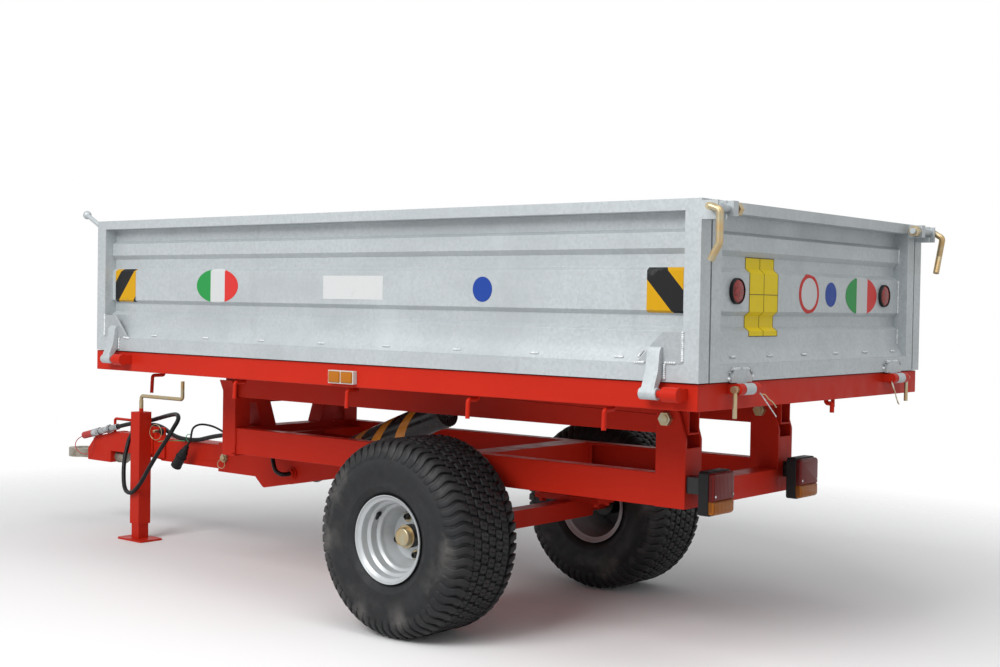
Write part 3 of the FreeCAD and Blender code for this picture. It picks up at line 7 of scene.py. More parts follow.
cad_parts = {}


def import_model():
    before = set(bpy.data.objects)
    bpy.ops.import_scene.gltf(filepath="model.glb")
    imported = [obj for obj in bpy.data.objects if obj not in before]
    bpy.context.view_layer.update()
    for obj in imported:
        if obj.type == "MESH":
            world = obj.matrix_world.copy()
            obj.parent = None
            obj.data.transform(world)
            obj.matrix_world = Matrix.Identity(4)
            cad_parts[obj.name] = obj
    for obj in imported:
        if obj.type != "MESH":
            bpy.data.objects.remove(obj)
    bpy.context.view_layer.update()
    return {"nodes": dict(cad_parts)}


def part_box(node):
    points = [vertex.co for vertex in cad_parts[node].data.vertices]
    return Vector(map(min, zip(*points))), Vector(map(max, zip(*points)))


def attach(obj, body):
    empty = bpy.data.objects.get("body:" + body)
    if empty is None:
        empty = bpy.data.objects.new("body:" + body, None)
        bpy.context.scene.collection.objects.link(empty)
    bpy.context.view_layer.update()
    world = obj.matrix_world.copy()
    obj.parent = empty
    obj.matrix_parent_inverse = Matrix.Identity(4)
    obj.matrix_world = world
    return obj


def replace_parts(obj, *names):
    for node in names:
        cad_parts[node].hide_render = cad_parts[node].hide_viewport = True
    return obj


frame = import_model()
scene = bpy.context.scene
scene.view_settings.view_transform = "Standard"


# Camera: stands off the left rear corner, a little above the floor frame, as the photographer did.
# Its place, direction and roll were fitted to the edges in the photograph, on a 36 mm sensor.
# Places count in millimetres from the rear face of the trailer's body, to the left and up.
MM = 0.001
FRAME_INSET = 5
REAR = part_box("bed_frame")[0][0] - FRAME_INSET * MM
CAMERA_PLACE = (-1549.1, 3104.8, 855.2)
CAMERA_LOOK = Vector((0.63508, -0.77213, -0.02196)).normalized()
CAMERA_ROLL = math.radians(0.96)
CAMERA_LENS = 50.76
CAMERA_SENSOR = 36


def spot(x, y, z):
    """A place in metres from millimetres along, across and up the trailer."""
    return Vector((REAR + x * MM, y * MM, z * MM))


def photo_camera():
    data = bpy.data.cameras.new("camera")
    data.lens = CAMERA_LENS
    data.sensor_width = CAMERA_SENSOR
    camera = bpy.data.objects.new("camera", data)
    scene.collection.objects.link(camera)
    level = CAMERA_LOOK.cross(Vector((0, 0, 1))).normalized()
    upward = level.cross(CAMERA_LOOK)
    right = math.cos(CAMERA_ROLL) * level + math.sin(CAMERA_ROLL) * upward
    top = -math.sin(CAMERA_ROLL) * level + math.cos(CAMERA_ROLL) * upward
    turn = Matrix((right, top, -CAMERA_LOOK)).transposed().to_4x4()
    camera.matrix_world = Matrix.Translation(spot(*CAMERA_PLACE)) @ turn
    scene.camera = camera


photo_camera()


# Hydraulic hose: 15 mm rubber hose with a screwed coupler at its free end, hung round the jack in one
# loop and led back along the drawbar to a hole in the chassis. The route repeats the one in the solids.
HOSE_RADIUS = 7.5
HOSE_ROUTE = [(2741.6, 50, 384.1), (2714.7, 50, 390.1), (2679, 45, 398), (2628, 40, 408), (2565, 40, 417),
              (2502, 48, 431), (2426, 62, 447), (2367, 76, 455), (2334, 96, 440), (2344, 110, 411),
              (2367, 116, 375), (2414, 118, 324), (2470, 118, 260), (2515, 118, 204), (2554, 118, 172),
              (2583, 116, 165), (2614, 110, 173), (2637, 100, 203), (2656, 86, 261), (2663, 72, 301),
              (2668, 56, 348), (2652, 37, 388), (2606, 17, 399), (2560, 14, 400), (2508, 20, 391),
              (2461, 34, 378), (2384, 46, 366), (2290, 50, 368), (2221, 56, 384), (2154, 62, 396),
              (2070, 74, 406), (2000, 78, 412), (1940, 80, 414), (1901, 80, 414)]


class Finish:
    """A material's nodes, starting from one Principled shader, with short ways to add to them."""

    def __init__(self, name, base, rough, metal=0.0, **sockets):
        self.material = bpy.data.materials.new(name)
        self.material.use_nodes = True
        self.tree = self.material.node_tree
        self.main = self.tree.nodes["Principled BSDF"]
        self.main.inputs["Base Color"].default_value = (*base, 1)
        self.main.inputs["Roughness"].default_value = rough
        self.main.inputs["Metallic"].default_value = metal
        for socket, value in sockets.items():
            self.main.inputs[socket.replace("_", " ")].default_value = value
        self.base = base
        self.coords = self.tree.nodes.new("ShaderNodeTexCoord").outputs["Object"]

    def node(self, kind, **values):
        made = self.tree.nodes.new("ShaderNode" + kind)
        for key, value in values.items():
            if key in made.inputs:
                made.inputs[key].default_value = value
            else:
                setattr(made, key, value)
        return made

    def link(self, output, target):
        self.tree.links.new(output, target)

    def noise(self, scale, detail=4.0, stretch=(1, 1, 1)):
        spread = self.node("Mapping", Scale=stretch)
        self.link(self.coords, spread.inputs["Vector"])
        made = self.node("TexNoise", Scale=scale, Detail=detail)
        self.link(spread.outputs["Vector"], made.inputs["Vector"])
        return made.outputs["Fac"]

    def cells(self, scale):
        made = self.node("TexVoronoi", Scale=scale)
        self.link(self.coords, made.inputs["Vector"])
        return made.outputs["Color"]

    def along(self, direction, offset=0.0):
        """Distance along a direction on Object coordinates, plus an offset."""
        dot = self.node("VectorMath", operation="DOT_PRODUCT")
        self.link(self.coords, dot.inputs[0])
        dot.inputs[1].default_value = direction
        total = self.node("Math", operation="ADD")
        self.link(dot.outputs["Value"], total.inputs[0])
        total.inputs[1].default_value = offset
        return total.outputs[0]

    def between(self, value, low, high, start=0.3, end=0.7):
        made = self.node("MapRange")
        self.link(value, made.inputs["Value"])
        made.inputs["From Min"].default_value = start
        made.inputs["From Max"].default_value = end
        made.inputs["To Min"].default_value = low
        made.inputs["To Max"].default_value = high
        return made.outputs["Result"]

    def bands(self, value, stops):
        """Hard-edged colours: each stop is a place from 0 to 1 and the colour that starts there."""
        made = self.node("ValToRGB")
        self.link(value, made.inputs["Fac"])
        ramp = made.color_ramp
        ramp.interpolation = "CONSTANT"
        while len(ramp.elements) < len(stops):
            ramp.elements.new(1.0)
        for element, (place, colour) in zip(ramp.elements, stops):
            element.position = place
            element.color = (*colour, 1)
        return made.outputs["Color"]

    def blend(self, factor, first, second):
        made = self.tree.nodes.new("ShaderNodeMix")
        made.data_type = "RGBA"
        self.link(factor, made.inputs[0])
        for socket, colour in ((made.inputs[6], first), (made.inputs[7], second)):
            if isinstance(colour, tuple):
                socket.default_value = (*colour, 1)
            else:
                self.link(colour, socket)
        return made.outputs[2]

    def colour(self, output):
        self.link(output, self.main.inputs["Base Color"])

    def roughness(self, scale, low, high):
        self.link(self.between(self.noise(scale), low, high), self.main.inputs["Roughness"])

    def bump(self, height, strength, distance):
        made = self.node("Bump", Strength=strength, Distance=distance)
        self.link(height, made.inputs["Height"])
        self.link(made.outputs["Normal"], self.main.inputs["Normal"])


def hose_rubber():
    rubber = Finish("hose rubber", (0.0085, 0.0092, 0.0105), 0.42, Specular_IOR_Level=0.2)
    scuff = rubber.between(rubber.noise(40, 5), 0, 0.5, 0.55, 0.8)
    rubber.colour(rubber.blend(scuff, rubber.base, (0.06, 0.06, 0.06)))
    rubber.bump(rubber.noise(400, 2), 0.15, 0.0003)
    return rubber.material


HOSE_RUBBER = hose_rubber()


def smooth_tube(name, route, radius, steps, sides, closed=False):
    """A tube on a smooth line, with the route's places as the control points of its spline."""
    data = bpy.data.curves.new(name, "CURVE")
    data.dimensions = "3D"
    spline = data.splines.new("NURBS")
    spline.points.add(len(route) - 1)
    for point, place in zip(spline.points, route):
        point.co = (*spot(*place), 1)
    spline.order_u = 3
    spline.use_endpoint_u = not closed
    spline.use_cyclic_u = closed
    data.resolution_u = steps
    data.bevel_depth = radius * MM
    data.bevel_resolution = sides
    made = bpy.data.objects.new(name, data)
    scene.collection.objects.link(made)
    return made


def cord(name, route, radius, material, body):
    made = smooth_tube(name, route, radius, 8, 5)
    made.data.materials.append(material)
    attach(made, body)
    return made


hose = cord("hose", HOSE_ROUTE, HOSE_RADIUS, HOSE_RUBBER, "chassis")
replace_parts(hose, "hydraulic_hose")


# Lamp cable: 7 mm cable from the chassis, laid over the drawbar and tied to the hose, with its round
# plug hanging from it. The plug is moulded: a ribbed boot, a barrel with a collar and a recessed face.
CABLE_RADIUS = 3.5
CABLE_ROUTE = [(1901.3, 60, 430), (1925, 60, 430), (1960, 57, 430), (2010, 50, 424), (2090, 42, 404),
               (2162, 40, 402), (2183, 42, 412), (2223, 46, 423), (2273, 54, 426), (2298, 64, 413),
               (2296, 72, 394), (2289, 80, 376), (2295, 82, 363.2), (2304, 82, 352)]
PLUG_TAIL = CABLE_ROUTE[-1]
PLUG_SLOPE = math.radians(51.2)
PLUG_FACE = 90
PLUG_PROFILE = [(0, 0), (0, 5), (4, 6), (6, 8.5), (8, 8.5), (9, 7), (12, 8), (14, 10), (16, 10), (17, 8),
                (20, 9), (22, 11), (26, 12), (31, 15), (50, 16.5), (51, 18.8), (56, 18.8), (57, 17.2),
                (PLUG_FACE, 17.6), (91, 18.6), (97, 18.6), (97, 16.2), (PLUG_FACE, 15.8), (PLUG_FACE, 0)]


def black_plastic():
    plastic = Finish("black plastic", (0.01, 0.01, 0.011), 0.5, Specular_IOR_Level=0.22)
    plastic.roughness(60, 0.42, 0.6)
    plastic.bump(plastic.noise(500, 2), 0.12, 0.0003)
    return plastic.material


BLACK_PLASTIC = black_plastic()


def piece(name, mesh, material, body, smooth=None):
    """A new piece on a body; its faces are smooth up to an angle in degrees where one is given."""
    made = bpy.data.objects.new(name, mesh)
    scene.collection.objects.link(made)
    mesh.materials.clear()
    mesh.materials.append(material)
    if smooth is not None:
        for face in mesh.polygons:
            face.use_smooth = True
        mesh.set_sharp_from_angle(angle=math.radians(smooth))
    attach(made, body)
    return made


def as_mesh(name, shape):
    """A bmesh as a plain mesh, its seams closed and its faces turned outwards."""
    bmesh.ops.remove_doubles(shape, verts=shape.verts, dist=0.00001)
    bmesh.ops.recalc_face_normals(shape, faces=shape.faces)
    mesh = bpy.data.meshes.new(name)
    shape.to_mesh(mesh)
    shape.free()
    return mesh


def turned(profile, origin, axis, steps=48, closed=False):
    """A bmesh turned about an axis; the profile holds places along the axis and radii in millimetres."""
    shape = bmesh.new()
    onto = Vector((0, 0, 1)).rotation_difference(Vector(axis)).to_matrix()
    rings = []
    for place, radius in profile:
        ring = []
        for k in range(steps):
            angle = 2 * math.pi * k / steps
            local = Vector((radius * math.cos(angle), radius * math.sin(angle), place)) * MM
            ring.append(shape.verts.new(Vector(origin) + onto @ local))
        rings.append(ring)
    pairs = list(zip(rings, rings[1:]))
    if closed:
        pairs.append((rings[-1], rings[0]))
    for ring, following in pairs:
        for k in range(steps):
            shape.faces.new((ring[k], ring[(k + 1) % steps], following[(k + 1) % steps], following[k]))
    return shape


cable = cord("cable", CABLE_ROUTE, CABLE_RADIUS, HOSE_RUBBER, "chassis")
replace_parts(cable, "lamp_cable")
plug_axis = (math.cos(PLUG_SLOPE), 0, -math.sin(PLUG_SLOPE))
plug = piece("plug", as_mesh("plug", turned(PLUG_PROFILE, spot(*PLUG_TAIL), plug_axis)), BLACK_PLASTIC,
             "chassis", smooth=35)
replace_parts(plug, "lamp_plug")


# Plug contacts and cable tie: six brass pins in the plug's face, in a ring, and a twist of green wire with
# a loose end, which holds the cable to the hose. Whatever repeats is made by one Geometry Nodes tree.
CONTACT_COUNT = 6
CONTACT_CIRCLE = 10
CONTACT_PROFILE = [(0, 0), (0, 1.6), (5, 1.6), (6, 1), (6, 0)]
TIE_RADIUS = 1.3
TIE_PLACE = (2318, 66, 376)
TIE_RING = (10, 13)
TIE_END = [(2318, 82, 366), (2352, 96, 366), (2398, 108, 363), (2420, 116, 358)]


def pattern_tree():
    """Copies of a unit mesh along a step, or turned about a line through the origin along Y."""
    tree = bpy.data.node_groups.new("pattern", "GeometryNodeTree")
    for name, kind in (("Geometry", "Geometry"), ("Unit", "Object"), ("Count", "Int"), ("Step", "Vector"),
                       ("Turn", "Float"), ("First Turn", "Float"), ("Material", "Material")):
        tree.interface.new_socket(name, in_out="INPUT", socket_type="NodeSocket" + kind)
    tree.interface.new_socket("Geometry", in_out="OUTPUT", socket_type="NodeSocketGeometry")
    add = tree.nodes.new
    given = add("NodeGroupInput").outputs
    line = add("GeometryNodeMeshLine")
    source = add("GeometryNodeObjectInfo")
    copies = add("GeometryNodeInstanceOnPoints")
    angle = add("ShaderNodeMath")
    angle.operation = "MULTIPLY_ADD"
    spin = add("ShaderNodeCombineXYZ")
    real = add("GeometryNodeRealizeInstances")
    paint = add("GeometryNodeSetMaterial")
    index = add("GeometryNodeInputIndex")
    out = add("NodeGroupOutput")
    for output, target in ((given["Count"], line.inputs["Count"]), (given["Step"], line.inputs["Offset"]),
                           (given["Unit"], source.inputs["Object"]), (index.outputs[0], angle.inputs[0]),
                           (given["Turn"], angle.inputs[1]), (given["First Turn"], angle.inputs[2]),
                           (angle.outputs[0], spin.inputs["Y"]), (spin.outputs[0], copies.inputs["Rotation"]),
                           (line.outputs["Mesh"], copies.inputs["Points"]),
                           (source.outputs["Geometry"], copies.inputs["Instance"]),
                           (copies.outputs["Instances"], real.inputs["Geometry"]),
                           (real.outputs["Geometry"], paint.inputs["Geometry"]),
                           (given["Material"], paint.inputs["Material"]),
                           (paint.outputs["Geometry"], out.inputs[0])):
        tree.links.new(output, target)
    return tree


PATTERN = pattern_tree()


def grown(name, tree, start, sizes):
    """Runs a Geometry Nodes tree on a mesh and returns the result as a plain mesh."""
    carrier = bpy.data.objects.new(name + "_carrier", start)
    scene.collection.objects.link(carrier)
    maker = carrier.modifiers.new("maker", "NODES")
    maker.node_group = tree
    for socket in tree.interface.items_tree:
        if socket.in_out == "INPUT" and socket.name in sizes:
            maker[socket.identifier] = sizes[socket.name]
    graph = bpy.context.evaluated_depsgraph_get()
    mesh = bpy.data.meshes.new_from_object(carrier.evaluated_get(graph))
    mesh.name = name
    bpy.data.objects.remove(carrier)
    return mesh


def repeated(name, unit, count, material, body, step=(0, 0, 0), turn=0.0, first=0.0, place=None, smooth=None):
    """Copies of a unit mesh as one piece; place is a matrix that carries the whole pattern."""
    holder = bpy.data.objects.new(name + "_unit", unit)
    scene.collection.objects.link(holder)
    mesh = grown(name, PATTERN, bpy.data.meshes.new(name + "_start"),
                 {"Unit": holder, "Count": count, "Step": step, "Turn": turn, "First Turn": first,
                  "Material": material})
    if place is not None:
        mesh.transform(place)
    bpy.data.objects.remove(holder)
    return piece(name, mesh, material, body, smooth)


def wire(name, places, radius, material, body, closed=False):
    """A bent wire or a ring of wire as a plain mesh; an open one has closed ends."""
    holder = smooth_tube(name + "_line", places, radius, 6, 3, closed)
    holder.data.use_fill_caps = not closed
    graph = bpy.context.evaluated_depsgraph_get()
    mesh = bpy.data.meshes.new_from_object(holder.evaluated_get(graph))
    mesh.name = name
    bpy.data.objects.remove(holder)
    return piece(name, mesh, material, body, smooth=60)


def ring_places(centre, across, up, tilt=0.0):
    """Eight places round an upright ring along the trailer; tilt swings it towards the side."""
    places = []
    for k in range(8):
        angle = math.pi * k / 4
        along = across * math.cos(angle)
        places.append((centre[0] + along * math.cos(tilt), centre[1] + along * math.sin(tilt),
                       centre[2] + up * math.sin(angle)))
    return places


def contact_brass():
    brass = Finish("contact brass", (0.5, 0.3, 0.12), 0.35, 0.8)
    brass.roughness(300, 0.3, 0.5)
    return brass.material


def tie_wire():
    plastic = Finish("green tie", (0.03, 0.3, 0.12), 0.45)
    plastic.roughness(200, 0.4, 0.6)
    return plastic.material


BRASS = contact_brass()
GREEN_TIE = tie_wire()


def plug_contacts():
    """Pins stand in the recess of the plug's face, in a ring about the plug's own axis."""
    pin = as_mesh("contact", turned(CONTACT_PROFILE, (0, 0, 0), (0, 1, 0), steps=10))
    pin.transform(Matrix.Translation((0, 0, CONTACT_CIRCLE * MM)))
    lean = Vector((0, 1, 0)).rotation_difference(Vector(plug_axis)).to_matrix().to_4x4()
    face = spot(*PLUG_TAIL) + Vector(plug_axis) * PLUG_FACE * MM
    repeated("plug_contacts", pin, CONTACT_COUNT, BRASS, "chassis", turn=2 * math.pi / CONTACT_COUNT,
             place=Matrix.Translation(face) @ lean, smooth=40)


plug_contacts()
wire("cable_tie", ring_places(TIE_PLACE, *TIE_RING, tilt=0.5), TIE_RADIUS, GREEN_TIE, "chassis", True)
wire("cable_tie_end", TIE_END, TIE_RADIUS, GREEN_TIE, "chassis")


# Hose coupler: plated steel ferrule, hexagon nut and sliding sleeve on the hose's free end, hung on the
# hanger, with a red rubber dust cap pushed over its mouth and tied to it by a thin loop.
COUPLER_START = (2742, 50, 384)
COUPLER_SLOPE = math.radians(12.5)
CAP_FROM = 152.5
LOOP_RADIUS = 1.5
LOOP_ROUTE = [(2946, 50, 338), (2966, 53, 332), (2988, 57, 318), (2996, 59, 300), (2986, 59, 282),
              (2962, 57, 270), (2930, 54, 268), (2908, 51, 278), (2897, 49, 297), (2891, 49, 316),
              (2891, 49, 334)]


def bright_plate():
    plate = Finish("bright plate", (0.58, 0.59, 0.6), 0.25, 1.0)
    tint = plate.between(plate.noise(45, 4), 0, 1, 0.35, 0.65)
    plate.colour(plate.blend(tint, plate.base, (0.24, 0.25, 0.26)))
    plate.roughness(60, 0.18, 0.34)
    plate.bump(plate.noise(200, 3), 0.12, 0.0003)
    return plate.material


def red_rubber():
    rubber = Finish("red rubber", (0.42, 0.025, 0.02), 0.5)
    rubber.roughness(80, 0.42, 0.6)
    rubber.bump(rubber.noise(300, 2), 0.15, 0.0003)
    return rubber.material


BRIGHT_PLATE = bright_plate()
RED_RUBBER = red_rubber()
CORNER_GRID = 20000
SHARP_COSINE = 0.8


def mark_edges(mesh):
    """Smooth shading with its sharp edges kept, on a solid whose triangles don't share their corners."""
    keys = []
    for edge in mesh.edges:
        ends = [tuple(round(c * CORNER_GRID) for c in mesh.vertices[v].co) for v in edge.vertices]
        keys.append(tuple(sorted(ends)))
    sides = {}
    for face in mesh.polygons:
        face.use_smooth = True
        for loop in face.loop_indices:
            sides.setdefault(keys[mesh.loops[loop].edge_index], []).append(face.normal.copy())
    for edge, key in zip(mesh.edges, keys):
        pair = sides.get(key, [])
        edge.use_edge_sharp = len(pair) != 2 or pair[0].dot(pair[1]) < SHARP_COSINE


def dress(names, material, edge=0.0, also=None, where=None):
    """Gives solids a material, another where a test on a face's middle holds, and edges rounded in mm."""
    for name in names:
        made = frame["nodes"][name]
        mesh = made.data
        mesh.materials.clear()
        mesh.materials.append(material)
        if also is not None:
            mesh.materials.append(also)
            for face in mesh.polygons:
                face.material_index = int(where(face.center))
        if "custom_normal" in mesh.attributes:
            mesh.attributes.remove(mesh.attributes["custom_normal"])
        mark_edges(mesh)
        weld = made.modifiers.new("weld", "WELD")
        weld.merge_threshold = 0.00002
        if edge:
            bevel = made.modifiers.new("edges", "BEVEL")
            bevel.width = edge * MM
            bevel.segments = 2
            bevel.limit_method = "ANGLE"
            bevel.angle_limit = math.radians(50)
            even = made.modifiers.new("even", "WEIGHTED_NORMAL")
            even.weight = 60
            even.keep_sharp = True


def behind(place, start, slope):
    """Distance in millimetres along an axis that tilts down towards the front, from its start."""
    offset = place - spot(*start)
    return (offset.x * math.cos(slope) - offset.z * math.sin(slope)) / MM


dress(["hose_coupler"], BRIGHT_PLATE, 0.6, RED_RUBBER,
      lambda place: behind(place, COUPLER_START, COUPLER_SLOPE) > CAP_FROM)
wire("cap_loop", LOOP_ROUTE, LOOP_RADIUS, RED_RUBBER, "chassis")


# Chassis: two red channel rails on edge with cross members welded between them, the uprights that carry
# the tipping bolts, the front support, the axle with its brackets, the cradle for the ram, and the square
# drawbar in its sleeve. All of it is painted in one coat.
EDGE_ROUND = 1.6


def red_paint():
    paint = Finish("red paint", (0.53, 0.022, 0.009), 0.4, Specular_IOR_Level=0.1)
    patch = paint.between(paint.noise(5, 5), 0, 0.6, 0.4, 0.75)
    faded = paint.blend(patch, paint.base, (0.47, 0.02, 0.009))
    speck = paint.between(paint.noise(160, 2), 0, 0.5, 0.7, 0.78)
    paint.colour(paint.blend(speck, faded, (0.58, 0.07, 0.05)))
    paint.roughness(22, 0.34, 0.52)
    paint.bump(paint.noise(260, 2), 0.07, 0.0005)
    return paint.material


RED = red_paint()
dress(["chassis_rail_left", "chassis_rail_right", "rear_cross_member", "middle_cross_member",
       "front_cross_member", "rear_upright_left", "rear_upright_right", "front_support", "axle_beam",
       "cylinder_cradle", "drawbar_sleeve", "drawbar"], RED, EDGE_ROUND)


# Weld beads on the chassis: fillets where rails, uprights and cross members meet, laid by hand and painted
# over, so that each is a row of overlapping lumps. Each bead is given by its two ends.
BEAD_SIZE = 4.2
LUMP_SHARE = 0.6
BEADS = [((299.5, 259, 376), (299.5, 259, 452)), ((299.5, -259, 376), (299.5, -259, 452)),
         ((1841, 261, 376), (1841, 276, 376)), ((1841, 260, 400), (1841, 260, 452)),
         ((1841, -260, 400), (1841, -260, 452)), ((850, 219, 380), (850, 219, 448)),
         ((850, -219, 380), (850, -219, 448)), ((276, 190, 376), (276, 190, 432)),
         ((276, -190, 376), (276, -190, 432)), ((2505, 38, 284), (2505, 38, 356)),
         ((2505, -38, 284), (2505, -38, 356)), ((1901, 204, 396), (1901, 204, 450)),
         ((1901, -204, 396), (1901, -204, 450)), ((2185, 40, 365), (2185, -40, 365))]


def bead(name, ends, size, material, body):
    """A weld bead between two places: lumps that overlap by half their width."""
    start, end = (spot(*place) for place in ends)
    lump = size * LUMP_SHARE * MM
    count = max(2, round((end - start).length / lump))
    shape = bmesh.new()
    bmesh.ops.create_icosphere(shape, subdivisions=1, radius=lump)
    unit = bpy.data.meshes.new(name)
    shape.to_mesh(unit)
    shape.free()
    repeated(name, unit, count, material, body, step=(end - start) / (count - 1),
             place=Matrix.Translation(start), smooth=80)


for index, ends in enumerate(BEADS):
    bead("chassis_bead_%02d" % index, ends, BEAD_SIZE, RED, "chassis")


# Drawbar head and pins: red plates and a steel bush on the drawbar's end, with the rod that the hose
# hangs on, and a zinc pin with a ring through the sleeve that sets the drawbar's length. The tipping bolts
# are zinc plated too, and the ram's lower pin is painted.
PIN_RING = (2149, 63, 300)
PIN_RING_SIZE = 15
RING_WIRE = 1.4


def yellow_zinc():
    zinc = Finish("yellow zinc", (0.42, 0.33, 0.17), 0.36, 0.75)
    tint = zinc.between(zinc.noise(35, 4), 0, 1)
    zinc.colour(zinc.blend(tint, (0.45, 0.29, 0.12), (0.4, 0.38, 0.27)))
    zinc.roughness(90, 0.28, 0.46)
    zinc.bump(zinc.noise(160, 3), 0.12, 0.0003)
    return zinc.material


ZINC = yellow_zinc()
dress(["drawbar_head"], RED, 1.2)
dress(["drawbar_pin", "tip_bolts"], ZINC, 0.8)
dress(["cylinder_base_pin"], RED, 0.8)
wire("drawbar_pin_ring", ring_places(PIN_RING, PIN_RING_SIZE, PIN_RING_SIZE, tilt=0.3), RING_WIRE, ZINC,
     "chassis", True)


# Towing eye: one steel forging, an eye on a round shank, held in the bush by a washer and nut behind it
# so that it can swivel. Bare and a little rusty.
def forged_steel():
    steel = Finish("forged steel", (0.34, 0.32, 0.27), 0.48, 0.65)
    rust = steel.between(steel.noise(30, 6), 0, 0.8, 0.42, 0.72)
    steel.colour(steel.blend(rust, steel.base, (0.15, 0.085, 0.05)))
    steel.bump(steel.noise(90, 5), 0.3, 0.0008)
    return steel.material


FORGED = forged_steel()
dress(["towing_eye"], FORGED, 1.5)


# Jack: square red outer tube on plates that are welded to the drawbar, a square inner leg with a foot
# plate, and a zinc crank on top. A zinc pin with a wire ring locks it, beside a black washer.
JACK_PLATES = [((2478, 2607), (38, 46), (290, 398)), ((2538, 2602), (46, 52), (300, 392))]
JACK_PLATE_EDGE = 1.2
JACK_PIN = (2512, 384)
JACK_PIN_ENDS = (30, 68)
JACK_PIN_HEAD = 9
JACK_PIN_RADIUS = 5.5
JACK_RING = (2508, 61, 381)
JACK_RING_SIZE = 29
JACK_WASHER = (2492, 46, 384)
JACK_WASHER_PROFILE = [(0, 0), (0, 12), (4, 12), (5, 11), (5, 6), (9, 6), (9, 0)]

dress(["jack_tube", "jack_leg"], RED, 1.4)
dress(["jack_crank"], ZINC, 0.5)


def slab(shape, spans, edge):
    """Adds a block with rounded edges to a bmesh; spans are its ends in millimetres on each axis."""
    low, high = (spot(*(span[k] for span in spans)) for k in (0, 1))
    made = bmesh.ops.create_cube(shape, size=1, matrix=Matrix.Translation((low + high) / 2)
                                 @ Matrix.Diagonal((*(high - low), 1)))
    edges = {side for vertex in made["verts"] for side in vertex.link_edges}
    bmesh.ops.bevel(shape, geom=list(edges), offset=edge * MM, segments=2, affect="EDGES", profile=0.5)


def jack_fittings():
    plates = bmesh.new()
    for spans in JACK_PLATES:
        slab(plates, spans, JACK_PLATE_EDGE)
    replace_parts(piece("jack_plates", as_mesh("jack_plates", plates), RED, "chassis", smooth=30),
                "jack_bracket")
    low, high = JACK_PIN_ENDS
    long = high - low
    pin = turned([(0, 0), (0, JACK_PIN_HEAD), (3, JACK_PIN_HEAD), (3, JACK_PIN_RADIUS),
                  (long - 1, JACK_PIN_RADIUS), (long, JACK_PIN_RADIUS - 1), (long, 0)],
                 spot(JACK_PIN[0], low, JACK_PIN[1]), (0, 1, 0), steps=20)
    piece("jack_pin", as_mesh("jack_pin", pin), ZINC, "chassis", smooth=35)
    wire("jack_pin_ring", ring_places(JACK_RING, JACK_RING_SIZE, JACK_RING_SIZE, tilt=0.2), RING_WIRE,
         ZINC, "chassis", True)
    washer = turned(JACK_WASHER_PROFILE, spot(*JACK_WASHER), (0, 1, 0), steps=28)
    piece("jack_washer", as_mesh("jack_washer", washer), BLACK_PLASTIC, "chassis", smooth=35)


jack_fittings()


# Rear lamps: red and amber ribbed lenses in black plastic housings with rounded corners, each held by two
# plated screws and carried on a black bracket behind the upright. Steps are a place along and an inset.
LAMP_MIDDLE = 215
LAMP_ROUND = 9
HOUSING = ((163, 267), (363.5, 468.5))
HOUSING_STEPS = [(177, 0), (152, 0), (151, 1)]
RED_PART = ((166, 264), (398.8, 465.5))
AMBER_PART = ((166, 264), (366.5, 398.2))
LENS_STEPS = [(151, 0), (142, 0), (138.5, 3), (137, 6)]
LENS_WAVES = 320 / 6.28
SCREW_ACROSS = 40
SCREW_PLACE = (137, 411)
SCREW_PROFILE = [(0, 0), (0, 3.2), (0.8, 3.2), (1.6, 2), (1.6, 0)]


def black_paint():
    paint = Finish("black paint", (0.01, 0.01, 0.011), 0.26, Specular_IOR_Level=0.4)
    paint.roughness(25, 0.2, 0.38)
    paint.bump(paint.noise(90, 3), 0.05, 0.0004)
    return paint.material


def lens(name, base, waves=LENS_WAVES):
    """Clear coloured plastic with fine upright ridges inside and painted shade between the ridges."""
    plastic = Finish(name, base, 0.3, Specular_IOR_Level=0.2)
    wave = plastic.node("TexWave", Scale=waves, bands_direction="Y")
    plastic.link(plastic.coords, wave.inputs["Vector"])
    # Painted shade: the colour falls to half in the hollows between the ridges, where the bump is lowest.
    painted_ridge_shade = plastic.between(wave.outputs["Fac"], 0, 1, 0.2, 0.8)
    plastic.colour(plastic.blend(painted_ridge_shade, tuple(c * 0.5 for c in base), base))
    plastic.bump(wave.outputs["Fac"], 0.5, 0.0008)
    return plastic.material


BLACK_PAINT = black_paint()
RED_LENS = lens("red lens", (0.17, 0.007, 0.005))
AMBER_LENS = lens("amber lens", (0.4, 0.115, 0.004))
dress(["lamp_brackets"], BLACK_PAINT, 1.0)


def round_outline(wide, tall, radius, ends, inset):
    """A rectangle about the origin, with round corners at its lower or upper end where ends says 1."""
    corners = []
    half, rise = wide / 2 - inset, tall / 2 - inset
    for turn, x, z, rounded in ((0, 1, 1, ends[1]), (1, -1, 1, ends[1]), (2, -1, -1, ends[0]),
                                (3, 1, -1, ends[0])):
        bend = (radius - min(inset, radius - 1)) if rounded else 0.3
        for k in range(5):
            angle = math.pi / 2 * (turn + k / 4)
            corners.append((x * (half - bend) + bend * math.cos(angle),
                            z * (rise - bend) + bend * math.sin(angle)))
    return corners


def lamp_shell(name, spans, steps, ends, material, node):
    """A lamp part on both sides, built up of an outline at each of its steps."""
    shape = bmesh.new()
    (near, far), (low, high) = spans
    for side in (1, -1):
        rings = []
        for x, inset in steps:
            rings.append([shape.verts.new(spot(x, side * ((near + far) / 2 + y), (low + high) / 2 + z))
                          for y, z in round_outline(far - near, high - low, LAMP_ROUND, ends, inset)])
        for ring, following in zip(rings, rings[1:]):
            for k in range(len(ring)):
                after = (k + 1) % len(ring)
                shape.faces.new((ring[k], ring[after], following[after], following[k]))
        shape.faces.new(rings[0])
        shape.faces.new(rings[-1])
    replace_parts(piece(name, as_mesh(name, shape), material, "chassis", smooth=35), node)


lamp_shell("lamp_boxes", HOUSING, HOUSING_STEPS, (1, 1), BLACK_PLASTIC, "lamp_housings")
lamp_shell("lenses_red", RED_PART, LENS_STEPS, (0, 1), RED_LENS, "red_lenses")
lamp_shell("lenses_amber", AMBER_PART, LENS_STEPS, (1, 0), AMBER_LENS, "amber_lenses")


